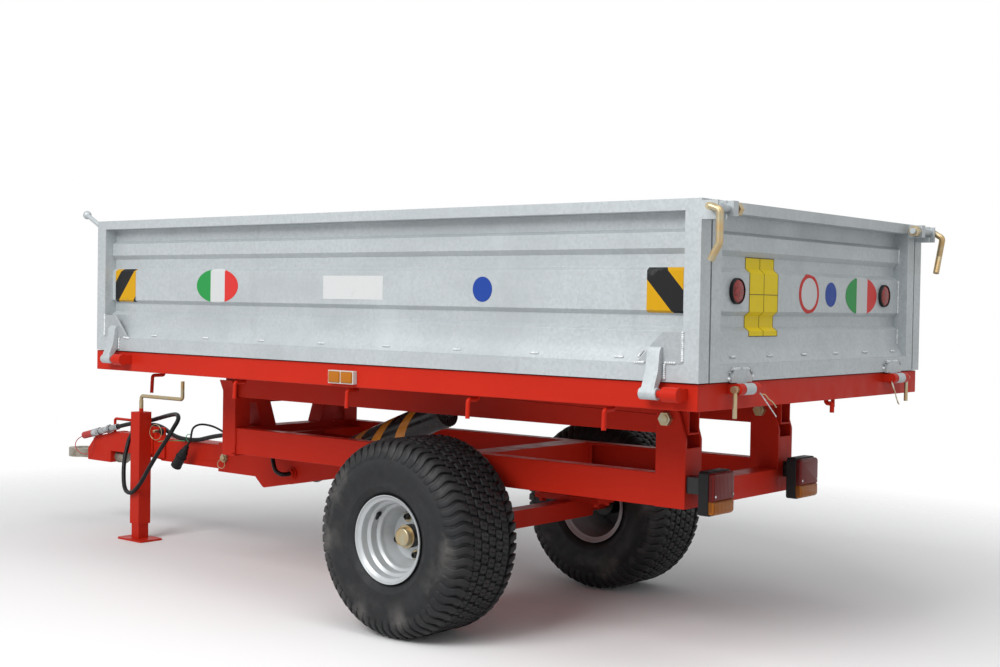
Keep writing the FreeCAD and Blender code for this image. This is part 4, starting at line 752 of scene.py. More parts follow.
def lamp_screws(word, side):
    head = turned(SCREW_PROFILE, (0, 0, 0), (-1, 0, 0), steps=14)
    start = spot(SCREW_PLACE[0], side * LAMP_MIDDLE - SCREW_ACROSS, SCREW_PLACE[1])
    repeated("lamp_screws_" + word, as_mesh("screw", head), 2, BRIGHT_PLATE, "chassis",
             step=(0, 2 * SCREW_ACROSS * MM, 0), place=Matrix.Translation(start), smooth=40)


SIDES = (("left", 1), ("right", -1))
for word, side in SIDES:
    lamp_screws(word, side)


# Tyres: wide turf tyres of black rubber. A smooth carcass carries five staggered rows of sheared blocks
# and thick wavy lugs that run over the shoulders, all moulded in one with it. SIDEWALL goes across and out
# from the bead, SHOULDER across and down from the tread's base.
TYRE_RADIUS = 254
WHEEL_X = REAR + 908 * MM
WHEEL_Y = 439 * MM
WHEEL_Z = TYRE_RADIUS * MM
BEAD_RADIUS = 101.6
SIDEWALL = [(84, 1), (103.6, 0.5), (104, 12), (107, 15.5), (111, 18), (114, 25), (119.5, 33), (120, 36),
            (119.4, 38), (124, 60), (126, 74), (126.2, 84), (125.4, 92), (122.6, 102), (119, 112),
            (114.5, 122)]
SHOULDER = [(109, 14), (101, 8), (90, 3.6), (74, 1.2), (50, 0)]
TREAD_COUNT = 58
TREAD_DEPTH = 8
TREAD_UNDER = 0.5
TREAD_CROWN = 0.35
BLOCK_ROWS = 5
BLOCK_PITCH = 26.5
BLOCK_WIDE = 22.5
BLOCK_LONG = 21.5
BLOCK_SHEAR = 0.32
BLOCK_CORNER = 4.5
BLOCK_EDGES = [(0, TREAD_DEPTH + 1), (0, 1.3), (0.5, 0.4), (1.4, 0)]
SIPE_HALF = (1.1, 6.5)
SIPE_PROUD = 0.15
LUG_SHIFTS = {1: 0.25, -1: 0.7}
LUG_SWAY = 1.5
LUG_ROOTS = (9, 7)
LUG_BEND = 5
LUG_END_SINK = 2.5
LUG_PATH = [(70, 0.5, 0, 6.8), (78, 1, 1.5, 8.8), (87, 2.5, 4.5, 9.4), (96, 6, 6, 9.2), (104, 11, 4.5, 8.8),
            (111.5, 19, 1.5, 8.6), (117, 29, 0, 8.6), (121, 40, 1.5, 8.8), (123.4, 47, 2, 8.2),
            (124.6, 51, 2, 5.4)]


def tyre_rubber(name, centre):
    """Dull rubber, paler and dustier in a band round the shoulder at 200 mm radius."""
    rubber = Finish(name, (0.0105, 0.0112, 0.0125), 0.5, Specular_IOR_Level=0.3)
    offset = rubber.node("VectorMath", operation="SUBTRACT")
    rubber.link(rubber.coords, offset.inputs[0])
    offset.inputs[1].default_value = centre
    level = rubber.node("VectorMath", operation="MULTIPLY")
    rubber.link(offset.outputs[0], level.inputs[0])
    level.inputs[1].default_value = (1, 0, 1)
    radius = rubber.node("VectorMath", operation="LENGTH")
    rubber.link(level.outputs[0], radius.inputs[0])
    rise = rubber.between(radius.outputs["Value"], 0, 1, 0.15, 0.2)
    fall = rubber.between(radius.outputs["Value"], 1, 0.1, 0.212, 0.235)
    band = rubber.node("Math", operation="MULTIPLY")
    rubber.link(rise, band.inputs[0])
    rubber.link(fall, band.inputs[1])
    grime = rubber.node("Math", operation="MULTIPLY")
    rubber.link(rubber.between(rubber.noise(11, 10), 0, 0.75, 0.5, 0.68), grime.inputs[0])
    rubber.link(band.outputs[0], grime.inputs[1])
    worn = rubber.blend(rubber.between(rubber.noise(26, 5), 0, 0.35, 0.45, 0.8), rubber.base,
                        (0.035, 0.036, 0.038))
    rubber.colour(rubber.blend(grime.outputs[0], worn, (0.12, 0.112, 0.105)))
    rubber.roughness(50, 0.46, 0.66)
    rubber.bump(rubber.noise(300, 3), 0.2, 0.0006)
    return rubber.material


# Painted shade: near-black rubber for the thin flat sheets that stand in for the shade inside the slits
# across the tread blocks.
def painted_sipe_shade():
    rubber = Finish("painted sipe shade", (0.004, 0.004, 0.0045), 0.8, Specular_IOR_Level=0.15)
    rubber.bump(rubber.noise(200, 3), 0.15, 0.0004)
    return rubber.material


SIPE_SHADE = painted_sipe_shade()


def tread_block(shape, across, shift, top):
    """One block with cut corners and a rounded upper edge, sheared round the tyre."""
    wide, long, cut = BLOCK_WIDE / 2, BLOCK_LONG / 2, BLOCK_CORNER
    outline = [(wide - cut, long), (-wide, long), (-wide, -long + cut), (-wide + cut, -long), (wide, -long),
               (wide, long - cut)]
    rings = []
    for inset, drop in BLOCK_EDGES:
        ring = []
        for y, x in outline:
            y -= math.copysign(inset, y)
            x -= math.copysign(inset, x)
            ring.append(shape.verts.new(Vector((x + shift + BLOCK_SHEAR * y, y + across, top - drop)) * MM))
        rings.append(ring)
    for ring, following in zip(rings, rings[1:]):
        for k in range(6):
            shape.faces.new((ring[k], ring[(k + 1) % 6], following[(k + 1) % 6], following[k]))
    shape.faces.new(rings[-1])


def shoulder_lug(shape, edge, shift):
    """One wavy lug over the shoulder, with a rounded back and a sunk end.

    Each point of its path is a place across, the drop from the tread, the sway round the tyre and half
    the width.
    """
    rings = []
    last = len(LUG_PATH) - 1
    for k, (across, drop, sway, wide) in enumerate(LUG_PATH):
        before = LUG_PATH[max(0, k - 1)]
        after = LUG_PATH[min(last, k + 1)]
        run = Vector((0, after[0] - before[0], before[1] - after[1])).normalized()
        out = Vector((0, -run.z, run.y))
        deep = LUG_ROOTS[k >= LUG_BEND]
        here = Vector((shift + sway * LUG_SWAY, across, TYRE_RADIUS - drop))
        sink = LUG_END_SINK if k == last else 0
        ring = []
        for x, down in ((-wide, deep), (-wide, 1.8), (-wide + 1, 0.5), (-wide + 2.6, 0), (wide - 2.6, 0),
                        (wide - 1, 0.5), (wide, 1.8), (wide, deep)):
            local = here + Vector((x, 0, 0)) - out * (down + sink)
            ring.append(shape.verts.new(Vector((local.x, edge * local.y, local.z)) * MM))
        rings.append(ring)
    for ring, following in zip(rings, rings[1:]):
        for k in range(7):
            shape.faces.new((ring[k], ring[k + 1], following[k + 1], following[k]))
    shape.faces.new(rings[0])
    shape.faces.new(rings[-1])


def tyre(word, side):
    centre = Vector((WHEEL_X, side * WHEEL_Y, WHEEL_Z))
    rubber = tyre_rubber("tyre rubber " + word, centre)
    half = [(across, BEAD_RADIUS + out) for across, out in SIDEWALL]
    half += [(across, TYRE_RADIUS - TREAD_DEPTH - down) for across, down in SHOULDER]
    profile = half + [(-across, radius) for across, radius in reversed(half)]
    carcass = turned(profile, centre, (0, 1, 0), steps=144, closed=True)
    body = "wheel_" + word
    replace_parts(piece("tyre_carcass_" + word, as_mesh("tyre_carcass", carcass), rubber, body, smooth=60),
                "tyre_" + word)
    pitch = 2 * math.pi / TREAD_COUNT
    arc = pitch * TYRE_RADIUS
    blocks = bmesh.new()
    sipes = bmesh.new()
    for row in range(BLOCK_ROWS):
        offset = row - BLOCK_ROWS // 2
        shift = (row % 2) * arc / 2
        top = TYRE_RADIUS - TREAD_UNDER - TREAD_CROWN * offset * offset
        tread_block(blocks, offset * BLOCK_PITCH, shift, top)
        # The near-black sheet just above each block's top is painted shade, standing in for the slit cut
        # across the block.
        wide, long = SIPE_HALF
        ends = [(shift + BLOCK_SHEAR * y + x, offset * BLOCK_PITCH + y) for x, y in
                ((-wide, -long), (wide, -long), (wide, long), (-wide, long))]
        sipes.faces.new([sipes.verts.new(Vector((x, y, top + SIPE_PROUD)) * MM) for x, y in ends])
    lugs = bmesh.new()
    for edge in (-1, 1):
        shoulder_lug(lugs, edge, arc * LUG_SHIFTS[edge])
    for tag, shape, paint in (("blocks", blocks, rubber), ("sipes", sipes, SIPE_SHADE), ("lugs", lugs, rubber)):
        name = "tread_" + tag + "_" + word
        repeated(name, as_mesh(name, shape), TREAD_COUNT, paint, body, turn=pitch,
                 place=Matrix.Translation(centre), smooth=50)


for word, side in SIDES:
    tyre(word, side)


# Rims and hubs: pressed steel rims in silver paint with a rolled edge, two shelves and a dished disc, held
# by four black nuts in countersunk holes; a black hub with a zinc cap; a rubber valve in the rim. Profiles
# give a place along the axle, outwards from the tyre's middle, and a radius.
RIM_FRONT = [(113.5, 112.4), (113.5, 110.6), (112, 109), (110, 108), (107.5, 105.4), (106, 101.4), (104, 99),
             (98, 97.6), (90, 97.2), (86, 96), (82.5, 91), (80, 88.5), (76, 87.6), (64, 87.2), (61, 86),
             (58, 80), (55, 77.8), (50, 77), (43, 74), (30, 66), (24, 62.5), (20.5, 60), (20, 55), (20, 30)]
RIM_BACK = [(16, 30), (16, 57), (20, 64), (28, 69.5), (41, 77.5), (50, 81), (56, 82), (57, 84), (-30, 84),
            (-42, 89), (-58, 94), (-88, 95), (-104, 97), (-106, 101), (-108, 105), (-112, 109),
            (-113.5, 112.4)]
RIM_SEAT = [(-110, 112.4), (-107, 108), (-104, 101.6), (-62, 98), (-46, 92), (-32, 88), (58, 90), (78, 92),
            (84, 98), (88, 101.6), (102, 101.6), (104, 103), (107, 108), (110, 112.4)]
NUT_CIRCLE = 50
NUT_COUNT = 4
NUT_TURN = math.radians(17)
NUT_PROFILE = [(0.3, 0), (0.3, 9.2), (4, 8.6), (9, 8.6), (10.5, 7.6), (10.5, 5), (6, 4.6), (6, 0)]
SEAT_PROFILE = [(0, 14), (0.8, 13), (0.8, 12), (0.3, 9.5), (0.3, 0)]
DISC_FACE = 20
CAP_FROM_MIDDLE = 43.5
VALVE_TURN = math.radians(51)
VALVE_OUT = 72
VALVE_RADIUS = 88
VALVE_LEAN = (0.8, -0.6)
VALVE_PROFILE = [(0, 0), (0, 7.5), (4, 7.2), (7, 5), (20, 4.4), (21, 3.6), (27, 3.6), (28, 3), (28, 0)]


def silver_paint():
    paint = Finish("silver rim paint", (0.46, 0.48, 0.49), 0.33, 0.3)
    grime = paint.between(paint.noise(12, 6), 0, 0.5, 0.5, 0.8)
    paint.colour(paint.blend(grime, paint.base, (0.27, 0.27, 0.26)))
    paint.roughness(30, 0.28, 0.42)
    paint.bump(paint.noise(120, 3), 0.06, 0.0004)
    return paint.material


def black_iron():
    iron = Finish("black iron", (0.012, 0.012, 0.012), 0.45, 0.3)
    iron.bump(iron.noise(120, 3), 0.2, 0.0004)
    return iron.material


SILVER = silver_paint()
BLACK_IRON = black_iron()


def wheel_centre(word, side):
    body = "wheel_" + word
    middle = Vector((WHEEL_X, side * WHEEL_Y, WHEEL_Z))
    axis = (0, side, 0)
    rim = turned(RIM_FRONT + RIM_BACK + RIM_SEAT, middle, axis, steps=96, closed=True)
    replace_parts(piece("rim_pressing_" + word, as_mesh("rim_pressing", rim), SILVER, body, smooth=32),
                "rim_" + word)
    dress(["hub_" + word], BLACK_IRON, 0.6, ZINC,
          lambda place: abs(place.y) > WHEEL_Y + CAP_FROM_MIDDLE * MM)
    face = Vector((WHEEL_X, side * (WHEEL_Y + DISC_FACE * MM), WHEEL_Z))
    seat = turned(SEAT_PROFILE, (0, 0, NUT_CIRCLE * MM), axis, steps=28)
    nut = turned(NUT_PROFILE, (0, 0, NUT_CIRCLE * MM), axis, steps=6)
    for tag, shape, paint in (("seats", seat, ZINC), ("nuts", nut, BLACK_IRON)):
        name = "wheel_" + tag + "_" + word
        repeated(name, as_mesh(name, shape), NUT_COUNT, paint, body, turn=2 * math.pi / NUT_COUNT,
                 first=NUT_TURN, place=Matrix.Translation(face), smooth=25)
    lean = Vector((math.sin(VALVE_TURN), 0, math.cos(VALVE_TURN)))
    foot = Vector((WHEEL_X, side * (WHEEL_Y + VALVE_OUT * MM), WHEEL_Z)) + VALVE_RADIUS * MM * lean
    stem_axis = (VALVE_LEAN[0] * Vector(axis) + VALVE_LEAN[1] * lean).normalized()
    stem = turned(VALVE_PROFILE, foot, stem_axis, steps=20)
    piece("valve_" + word, as_mesh("valve", stem), BLACK_PLASTIC, body, smooth=35)


for word, side in SIDES:
    wheel_centre(word, side)


# Ram: a black barrel with four slanted bands of orange film round it, a chromed rod with its eye under the
# floor frame, and a short hose from the barrel's foot to the pipe in the chassis.
RAM_FOOT = (1800, 0, 300)
RAM_HEAD = (1060, 0, 590)
BAND_START = 123
BAND_PITCH = 118
BAND_COUNT = 4
BAND_WIDE = 46
BAND_SLANT = -1.35
BAND_STEPS = 40
BARREL_RADIUS = 45
BAND_PROUD = 0.25


def band_film():
    sheet = Finish("orange film", (0.8, 0.3, 0.012), 0.38)
    worn = sheet.between(sheet.noise(60, 6), 0, 0.35, 0.5, 0.8)
    sheet.colour(sheet.blend(worn, sheet.base, (0.5, 0.17, 0.01)))
    sheet.roughness(40, 0.32, 0.5)
    return sheet.material


def chromed_rod():
    chrome = Finish("chromed rod", (0.7, 0.71, 0.73), 0.12, 1.0)
    chrome.roughness(60, 0.08, 0.2)
    return chrome.material


BAND_FILM = band_film()
CHROME = chromed_rod()
dress(["cylinder_barrel"], BLACK_PAINT, 1.0)
dress(["cylinder_rod"], CHROME, 0.8)
dress(["cylinder_hose"], HOSE_RUBBER)


def ram_bands():
    """Each band is a slanted sleeve of film just off the barrel."""
    radius = (BARREL_RADIUS + BAND_PROUD) * MM
    axis = (spot(*RAM_HEAD) - spot(*RAM_FOOT)).normalized()
    across = Vector((0, 1, 0))
    up = axis.cross(across)
    shape = bmesh.new()
    for band in range(BAND_COUNT):
        rings = []
        for place in (0, BAND_WIDE):
            ring = []
            for k in range(BAND_STEPS):
                angle = 2 * math.pi * k / BAND_STEPS
                run = BAND_START + band * BAND_PITCH + place + BAND_SLANT * BARREL_RADIUS * math.sin(angle)
                ring.append(shape.verts.new(spot(*RAM_FOOT) + axis * run * MM
                                            + radius * (math.cos(angle) * across + math.sin(angle) * up)))
            rings.append(ring)
        for k in range(BAND_STEPS):
            after = (k + 1) % BAND_STEPS
            shape.faces.new((rings[0][k], rings[0][after], rings[1][after], rings[1][k]))
    piece("ram_bands", as_mesh("ram_bands", shape), BAND_FILM, "ram_barrel", smooth=60)


ram_bands()


# Tipping body's underframe: red channels and bearers welded up, with pins on bosses for the side hinges,
# bent hooks of red rod for ropes, and small side lamps with two amber lenses on a pale base.
MARKER_WAVES = 500 / 6.28
AMBER_BLOCK = (41, 13, 29)
AMBER_SPACE = 45
AMBER_PROUD = 3


def pale_plastic():
    plastic = Finish("pale plastic", (0.55, 0.55, 0.52), 0.4)
    plastic.roughness(80, 0.34, 0.5)
    plastic.bump(plastic.noise(300, 2), 0.1, 0.0003)
    return plastic.material


PALE_PLASTIC = pale_plastic()
MARKER_AMBER = lens("marker amber", (0.62, 0.2, 0.01), MARKER_WAVES)
dress(["bed_bearer_left", "bed_bearer_right", "bed_frame", "cylinder_bracket"], RED, 1.6)
dress(["gate_pins_left", "gate_pins_right"], RED, 0.8)
dress(["rope_hooks"], RED)


def marker_lamp(word, side):
    low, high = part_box("marker_lamps")
    shape = bmesh.new()
    bmesh.ops.create_cube(shape, size=1)
    bmesh.ops.scale(shape, vec=Vector(AMBER_BLOCK) * MM, verts=shape.verts)
    bmesh.ops.bevel(shape, geom=shape.edges, offset=2.5 * MM, segments=3, affect="EDGES", profile=0.5)
    place = Vector(((low[0] + high[0]) / 2 - AMBER_SPACE / 2 * MM,
                    side * (high[1] + (AMBER_PROUD - AMBER_BLOCK[1] / 2) * MM), (low[2] + high[2]) / 2))
    repeated("marker_lenses_" + word, as_mesh("marker", shape), 2, MARKER_AMBER, "bed",
             step=(AMBER_SPACE * MM, 0, 0), place=Matrix.Translation(place), smooth=40)


dress(["marker_lamps"], PALE_PLASTIC, 1.0)
for word, side in SIDES:
    marker_lamp(word, side)


# Walls: galvanised steel. Square posts and rails welded into frames round a sheet with pressed channels
# along it. The zinc has fine crystals, and shows stains, smears and drips.
WALL_EDGE = 1.4


def galvanised_steel(name, base, rough=0.5, metal=0.22):
    steel = Finish(name, base, rough, metal)
    grain = steel.between(steel.cells(150), 0, 1, 0.1, 0.9)
    dull = tuple(0.93 * value for value in base)
    pale = tuple(min(1.0, 1.06 * value) for value in base)
    flakes = steel.blend(grain, dull, pale)
    stain = steel.between(steel.noise(2.4, 6, (1, 1, 2.5)), 0, 0.75, 0.46, 0.72)
    clouded = steel.blend(stain, flakes, tuple(0.84 * value for value in base))
    smear = steel.between(steel.noise(7, 8, (1, 1, 0.5)), 0, 0.7, 0.57, 0.75)
    smeared = steel.blend(smear, clouded, tuple(min(1.0, 1.14 * value) for value in base))
    drip = steel.between(steel.noise(16, 5, (1, 1, 0.12)), 0, 0.5, 0.62, 0.8)
    steel.colour(steel.blend(drip, smeared, tuple(0.74 * value for value in base)))
    steel.roughness(9, rough - 0.1, rough + 0.1)
    steel.bump(steel.noise(34, 4), 0.14, 0.0007)
    return steel.material


GALVANISED = galvanised_steel("galvanised steel", (0.465, 0.5, 0.515))
dress(["side_gate_frame_left", "side_gate_frame_right"], GALVANISED, WALL_EDGE)
dress(["tailgate_frame", "front_wall_frame"], GALVANISED, WALL_EDGE)
dress(["side_gate_sheet_left", "side_gate_sheet_right", "tailgate_sheet", "front_wall_sheet", "floor_sheet"],
      GALVANISED, 0.5)


# Gussets: galvanised plates welded into the lower corners of the side gates, a little proud of the frame
# and a shade darker. The outline is the rear one's; the front one's is measured from the other end.
BODY_LONG = 2130
GUSSET = [(40.5, 731.5), (155.5, 731.5), (91, 798), (40.5, 798)]
GUSSET_INSIDE = (50, 750)
GUSSET_FACES = (565.6, 567.4)
GUSSET_EDGE = 0.7
GUSSET_ZINC = galvanised_steel("gusset zinc", (0.385, 0.412, 0.425))


def gussets(word, side):
    """Both plates of one side gate, with a small step round their outer faces."""
    shape = bmesh.new()
    back, front = GUSSET_FACES
    for end in (1, -1):
        rings = []
        for y, inset in ((back, 0), (front - GUSSET_EDGE, 0), (front, GUSSET_EDGE)):
            ring = []
            for x, z in GUSSET:
                x += inset if x < GUSSET_INSIDE[0] else -inset
                z += inset if z < GUSSET_INSIDE[1] else -inset
                ring.append(shape.verts.new(spot(x if end > 0 else BODY_LONG - x, side * y, z)))
            rings.append(ring)
        for ring, following in zip(rings, rings[1:]):
            for k in range(4):
                shape.faces.new((ring[k], ring[(k + 1) % 4], following[(k + 1) % 4], following[k]))
        shape.faces.new(rings[0])
        shape.faces.new(rings[-1])
    piece("gussets_" + word, as_mesh("gussets", shape), GUSSET_ZINC, "side_gate_" + word, smooth=30)


for word, side in SIDES:
    gussets(word, side)


# Welds on the walls: short dabs that hold the sheets to the rails, and full beads at gussets, hinge straps,
# hinge tabs and posts. They stand out brighter and rougher than the galvanised steel round them.
DAB_LONG = 19
DAB_SIZE = 5.4
WALL_BEAD_SIZE = 7
TAB_SIZE = 9
SIDE_DABS = [(x, 554.5, 741) for x in range(200, 2000, 236)]
TAIL_DABS = [(13, y, 745) for y in range(-435, 400, 166)]
SIDE_BEADS = [[(40, 566.5, 738), (40, 566.5, 798)], [(160, 566, 731), (138, 566.5, 732)],
              [(2090, 566.5, 738), (2090, 566.5, 798)], [(1970, 566, 731), (1992, 566.5, 732)],
              [(84, 567, 700), (84, 567, 728)], [(2016, 567, 700), (2016, 567, 728)],
              [(60, 566.5, 733), (82, 566.5, 733)], [(2046, 566.5, 732), (2072, 566.5, 732)],
              [(150, 566, 745), (140, 566, 756)]]
TAIL_SEAMS = [[(25, -479, 764), (25, -479, 800)], [(25, -479, 846), (25, -479, 928)],
              [(25, -479, 978), (25, -479, 1012)], [(25, -479, 734), (2, -500, 731)]]
TAB_SEAM = [(0, 443, 698), (0, 441, 711), (0, 430, 718), (0, 392, 719), (0, 355, 718), (0, 344, 711),
            (0, 341, 702)]


def weld_zinc():
    zinc = Finish("weld zinc", (0.62, 0.65, 0.66), 0.4, 0.35)
    spot_tone = zinc.between(zinc.noise(90, 4), 0, 1)
    zinc.colour(zinc.blend(spot_tone, (0.42, 0.45, 0.46), (0.78, 0.8, 0.81)))
    zinc.bump(zinc.noise(160, 3), 0.4, 0.001)
    return zinc.material


WELD_ZINC = weld_zinc()


def seam(name, places, size, material, body):
    for index, ends in enumerate(zip(places, places[1:])):
        bead("%s_%d" % (name, index), ends, size, material, body)


def wall_welds():
    for word, side in SIDES:
        body = "side_gate_" + word
        for index, (x, y, z) in enumerate(SIDE_DABS):
            seam("dab_%s_%d" % (word, index), [(x, side * y, z), (x + DAB_LONG, side * y, z)], DAB_SIZE,
                 WELD_ZINC, body)
        for index, places in enumerate(SIDE_BEADS):
            seam("bead_%s_%d" % (word, index), [(x, side * y, z) for x, y, z in places], WALL_BEAD_SIZE,
                 WELD_ZINC, body)
        seam("tab_seam_" + word, [(x, side * y, z) for x, y, z in TAB_SEAM], TAB_SIZE, WELD_ZINC, "tailgate")
    for index, (x, y, z) in enumerate(TAIL_DABS):
        seam("dab_tail_%d" % index, [(x, y, z), (x, y + DAB_LONG, z)], DAB_SIZE, WELD_ZINC, "tailgate")
    for index, places in enumerate(TAIL_SEAMS):
        seam("seam_tail_%d" % index, places, DAB_SIZE, WELD_ZINC, "tailgate")


wall_welds()


# Latches: galvanised forks and plates on the side gates' rear posts, each with a zinc stud and bent lever
# outside; the tailgate's top bolts with zinc nuts; zinc pins in red lugs at its foot, kept by spring clips.
LATCH_BODY = 568
STUD_PLACE = (4, 566.2)
NUT_BAND = (455, 473)
PIN_HANDLE_TOP = 662
PIN_HEAD_FROM = 438
CLIP_WIRE = 1.4
CLIPS = {"left_straight": [(-18, 350, 676), (-28, 328, 648), (-40, 300, 612)],
         "left_wavy": [(-18, 352, 672), (-21, 340, 660), (-24, 326, 664), (-27, 312, 650), (-31, 298, 644),
                       (-34, 290, 632)],
         "right_straight": [(-18, -350, 676), (-28, -350, 648), (-38, -352, 612)],
         "right_wavy": [(-18, -352, 672), (-24, -345, 656), (-30, -353, 642), (-34, -346, 628),
                        (-42, -350, 610)]}

dress(["side_gate_latch_left", "side_gate_latch_right"], GALVANISED, 1.0, ZINC,
      lambda place: abs(place.y) > LATCH_BODY * MM
      or (place.x < REAR + STUD_PLACE[0] * MM and abs(place.y) > STUD_PLACE[1] * MM))
dress(["tailgate_bolts"], GALVANISED, 1.0, ZINC, lambda place: NUT_BAND[0] < abs(place.y) / MM < NUT_BAND[1])
dress(["tailgate_lugs"], RED, 0.8, ZINC,
      lambda place: place.z < PIN_HANDLE_TOP * MM or abs(place.y) / MM > PIN_HEAD_FROM)
for name, line in CLIPS.items():
    wire("spring_clip_" + name, line, CLIP_WIRE, ZINC if "wavy" in name else BRIGHT_PLATE, "bed")


# Films on the side gates: warning panels in slanted yellow and black at both ends, and between them a
# white plate, an oval in green, white and red, and a blue disc, all left blank. Printed plastic, stuck on.
# A panel has two ends, an oval or disc its middle along and up, half width and half height.
FILM_THICK = 0.4
SIDE_FACE = 566
PRESSING = [(730, 6), (764, 26), (800, 26), (809, 38), (834, 38), (844, 26), (930, 26), (940, 38), (966, 38),
            (978, 26), (1012, 26)]
FILM_LOW = 839
FILM_HIGH = 937
PANELS = {"rear": (57, 150), "front": (1974, 2073)}
PLATE = (946, 1164, 857, 918)
OVAL = (1596, 889, 90, 48)
BLUE_SPOT = (617, 886, 30, 30)
OVAL_ROWS = 40
YELLOW = (0.62, 0.33, 0.006)
BLACK = (0.012, 0.012, 0.013)
STOPS_FROM = -1
STOPS_TO = 2


def film(name, base, gloss=0.45):
    sheet = Finish(name, base, gloss, Specular_IOR_Level=0.2)
    worn = sheet.between(sheet.noise(60, 6), 0, 0.3, 0.55, 0.8)
    sheet.colour(sheet.blend(worn, base, tuple(0.7 * c + 0.05 for c in base)))
    sheet.roughness(70, gloss - 0.06, gloss + 0.1)
    return sheet.material


def warning_film(name, span, lean, stops):
    """Slanted yellow and black; the measure runs from the front edge back and from the top down."""
    sheet = Finish(name, YELLOW, 0.45, Specular_IOR_Level=0.16)
    wide = (span[1] - span[0]) * MM
    tall = (FILM_HIGH - FILM_LOW) * MM
    front = REAR + span[1] * MM
    measure = sheet.along((-1 / wide, 0, -lean / tall), front / wide + lean * FILM_HIGH * MM / tall)
    colours = [(0, YELLOW)]
    for index, stop in enumerate(stops):
        colours.append(((stop - STOPS_FROM) / (STOPS_TO - STOPS_FROM), YELLOW if index % 2 else BLACK))
    bands = sheet.bands(sheet.between(measure, 0, 1, STOPS_FROM, STOPS_TO), colours)
    scuff = sheet.between(sheet.noise(38, 6, (1, 1, 0.6)), 0, 0.5, 0.58, 0.7)
    sheet.colour(sheet.blend(scuff, bands, (0.12, 0.12, 0.115)))
    return sheet.material


def striped_film(name, direction, centre, half):
    """Upright green, white and red thirds of a blank oval."""
    sheet = Finish(name, (0.6, 0.6, 0.6), 0.45, Specular_IOR_Level=0.2)
    wide = 2 * half * MM
    measure = sheet.along(tuple(value / wide for value in direction), 0.5 - centre / wide)
    sheet.colour(sheet.bands(measure, [(0, (0.02, 0.27, 0.06)), (0.34, (0.6, 0.61, 0.61)),
                                       (0.68, (0.62, 0.035, 0.03))]))
    return sheet.material


WARNING = {"rear": warning_film("rear warning film", PANELS["rear"], -0.98, [-0.265, 0.51]),
           "front": warning_film("front warning film", PANELS["front"], 0.85, [0.33, 0.98, 1.7])}
STRIPES = striped_film("oval film", (-1, 0, 0), -(REAR + OVAL[0] * MM), OVAL[2])
WHITE_FILM = film("white film", (0.62, 0.63, 0.63))
BLUE_FILM = film("blue film", (0.015, 0.055, 0.3))
RED_FILM = film("red film", (0.52, 0.025, 0.02))
YELLOW_FILM = film("yellow film", (0.8, 0.6, 0.012))
LINE_FILM = film("line film", (0.06, 0.03, 0.01))


def depth_at(height):
    """How far the pressed sheet lies behind the posts' face at a height, by PRESSING's pairs of the two."""
    for (low, near), (high, far) in zip(PRESSING, PRESSING[1:]):
        if low <= height <= high:
            return near + (far - near) * (height - low) / (high - low)
    return PRESSING[-1][1]


def sheet_place(along, height, side, lift):
    """A place on the sheet of a side gate, or of the tailgate where side is 0."""
    if side:
        return spot(along, side * (SIDE_FACE - depth_at(height) + lift), height)
    return spot(depth_at(height) - lift, along, height)


def film_piece(name, rows, side, lift, material, body):
    """A film laid over the pressing; each row is a height with its two ends along the wall."""
    mesh = bpy.data.meshes.new(name)
    corners = [sheet_place(end, height, side, lift) for height, ends in rows for end in ends]
    faces = [(2 * i, 2 * i + 1, 2 * i + 3, 2 * i + 2) for i in range(len(rows) - 1)]
    mesh.from_pydata(corners, [], faces)
    made = piece(name, mesh, material, body)
    thick = made.modifiers.new("film", "SOLIDIFY")
    thick.thickness = FILM_THICK * MM
    thick.offset = 0
    return made


def panel(name, span, low, high, side, material, body, lift=FILM_THICK):
    heights = [low] + [height for height, _ in PRESSING if low < height < high] + [high]
    film_piece(name, [(height, span) for height in heights], side, lift, material, body)


def oval(name, centre, side, material, body, lift=FILM_THICK):
    along, middle, wide, tall = centre
    rows = []
    for k in range(OVAL_ROWS + 1):
        angle = math.pi * (k / OVAL_ROWS - 0.5)
        reach = max(wide * math.cos(angle), 0.2)
        rows.append((middle + tall * math.sin(angle), (along - reach, along + reach)))
    film_piece(name, rows, side, lift, material, body)


def side_films(word, side):
    body = "side_gate_" + word
    for tag, span in PANELS.items():
        panel("warning_%s_%s" % (tag, word), span, FILM_LOW, FILM_HIGH, side, WARNING[tag], body)
    panel("plate_" + word, PLATE[:2], PLATE[2], PLATE[3], side, WHITE_FILM, body)
    oval("oval_" + word, OVAL, side, STRIPES, body)
    oval("blue_spot_" + word, BLUE_SPOT, side, BLUE_FILM, body)


for word, side in SIDES:
    side_films(word, side)


# Films and reflectors on the tailgate: a yellow panel with plain lines, a white disc in a red ring, a blue
# disc and an oval, all blank, and two round red reflectors in black rims, screwed on.
TAIL_FLAT = 26
YELLOW_PANEL = (183, 315)
YELLOW_HEIGHTS = (788, 966)
PANEL_LINE = 1.4
PANEL_LEVEL = 882
LIMIT_SPOT = (28, 888, 51, 47)
LIMIT_FACE = (28, 888, 40, 38)
TAIL_BLUE = (-87, 888, 30, 30)
TAIL_OVAL = (-258, 887, 90, 48)
REFLECTORS = (374, -387)
REFLECTOR_HEIGHT = 889
RIM_PROFILE = [(0, 29), (7, 29), (8.5, 28), (8.5, 26.5), (6, 26), (0, 26)]
DOME_PROFILE = [(0.5, 26.2), (6, 26), (7.6, 22), (8.8, 15), (9.4, 8), (9.6, 0)]


def reflector_red():
    plastic = Finish("reflector", (0.3, 0.012, 0.01), 0.22, Specular_IOR_Level=0.3)
    pattern = plastic.cells(260)
    plastic.colour(plastic.blend(plastic.between(pattern, 0, 1, 0.1, 0.9), (0.11, 0.01, 0.008),
                                 (0.42, 0.02, 0.014)))
    plastic.bump(pattern, 0.6, 0.0012)
    return plastic.material


REFLECTOR_RED = reflector_red()
TAIL_STRIPES = striped_film("tail oval film", (0, -1, 0), -TAIL_OVAL[0] * MM, TAIL_OVAL[2])


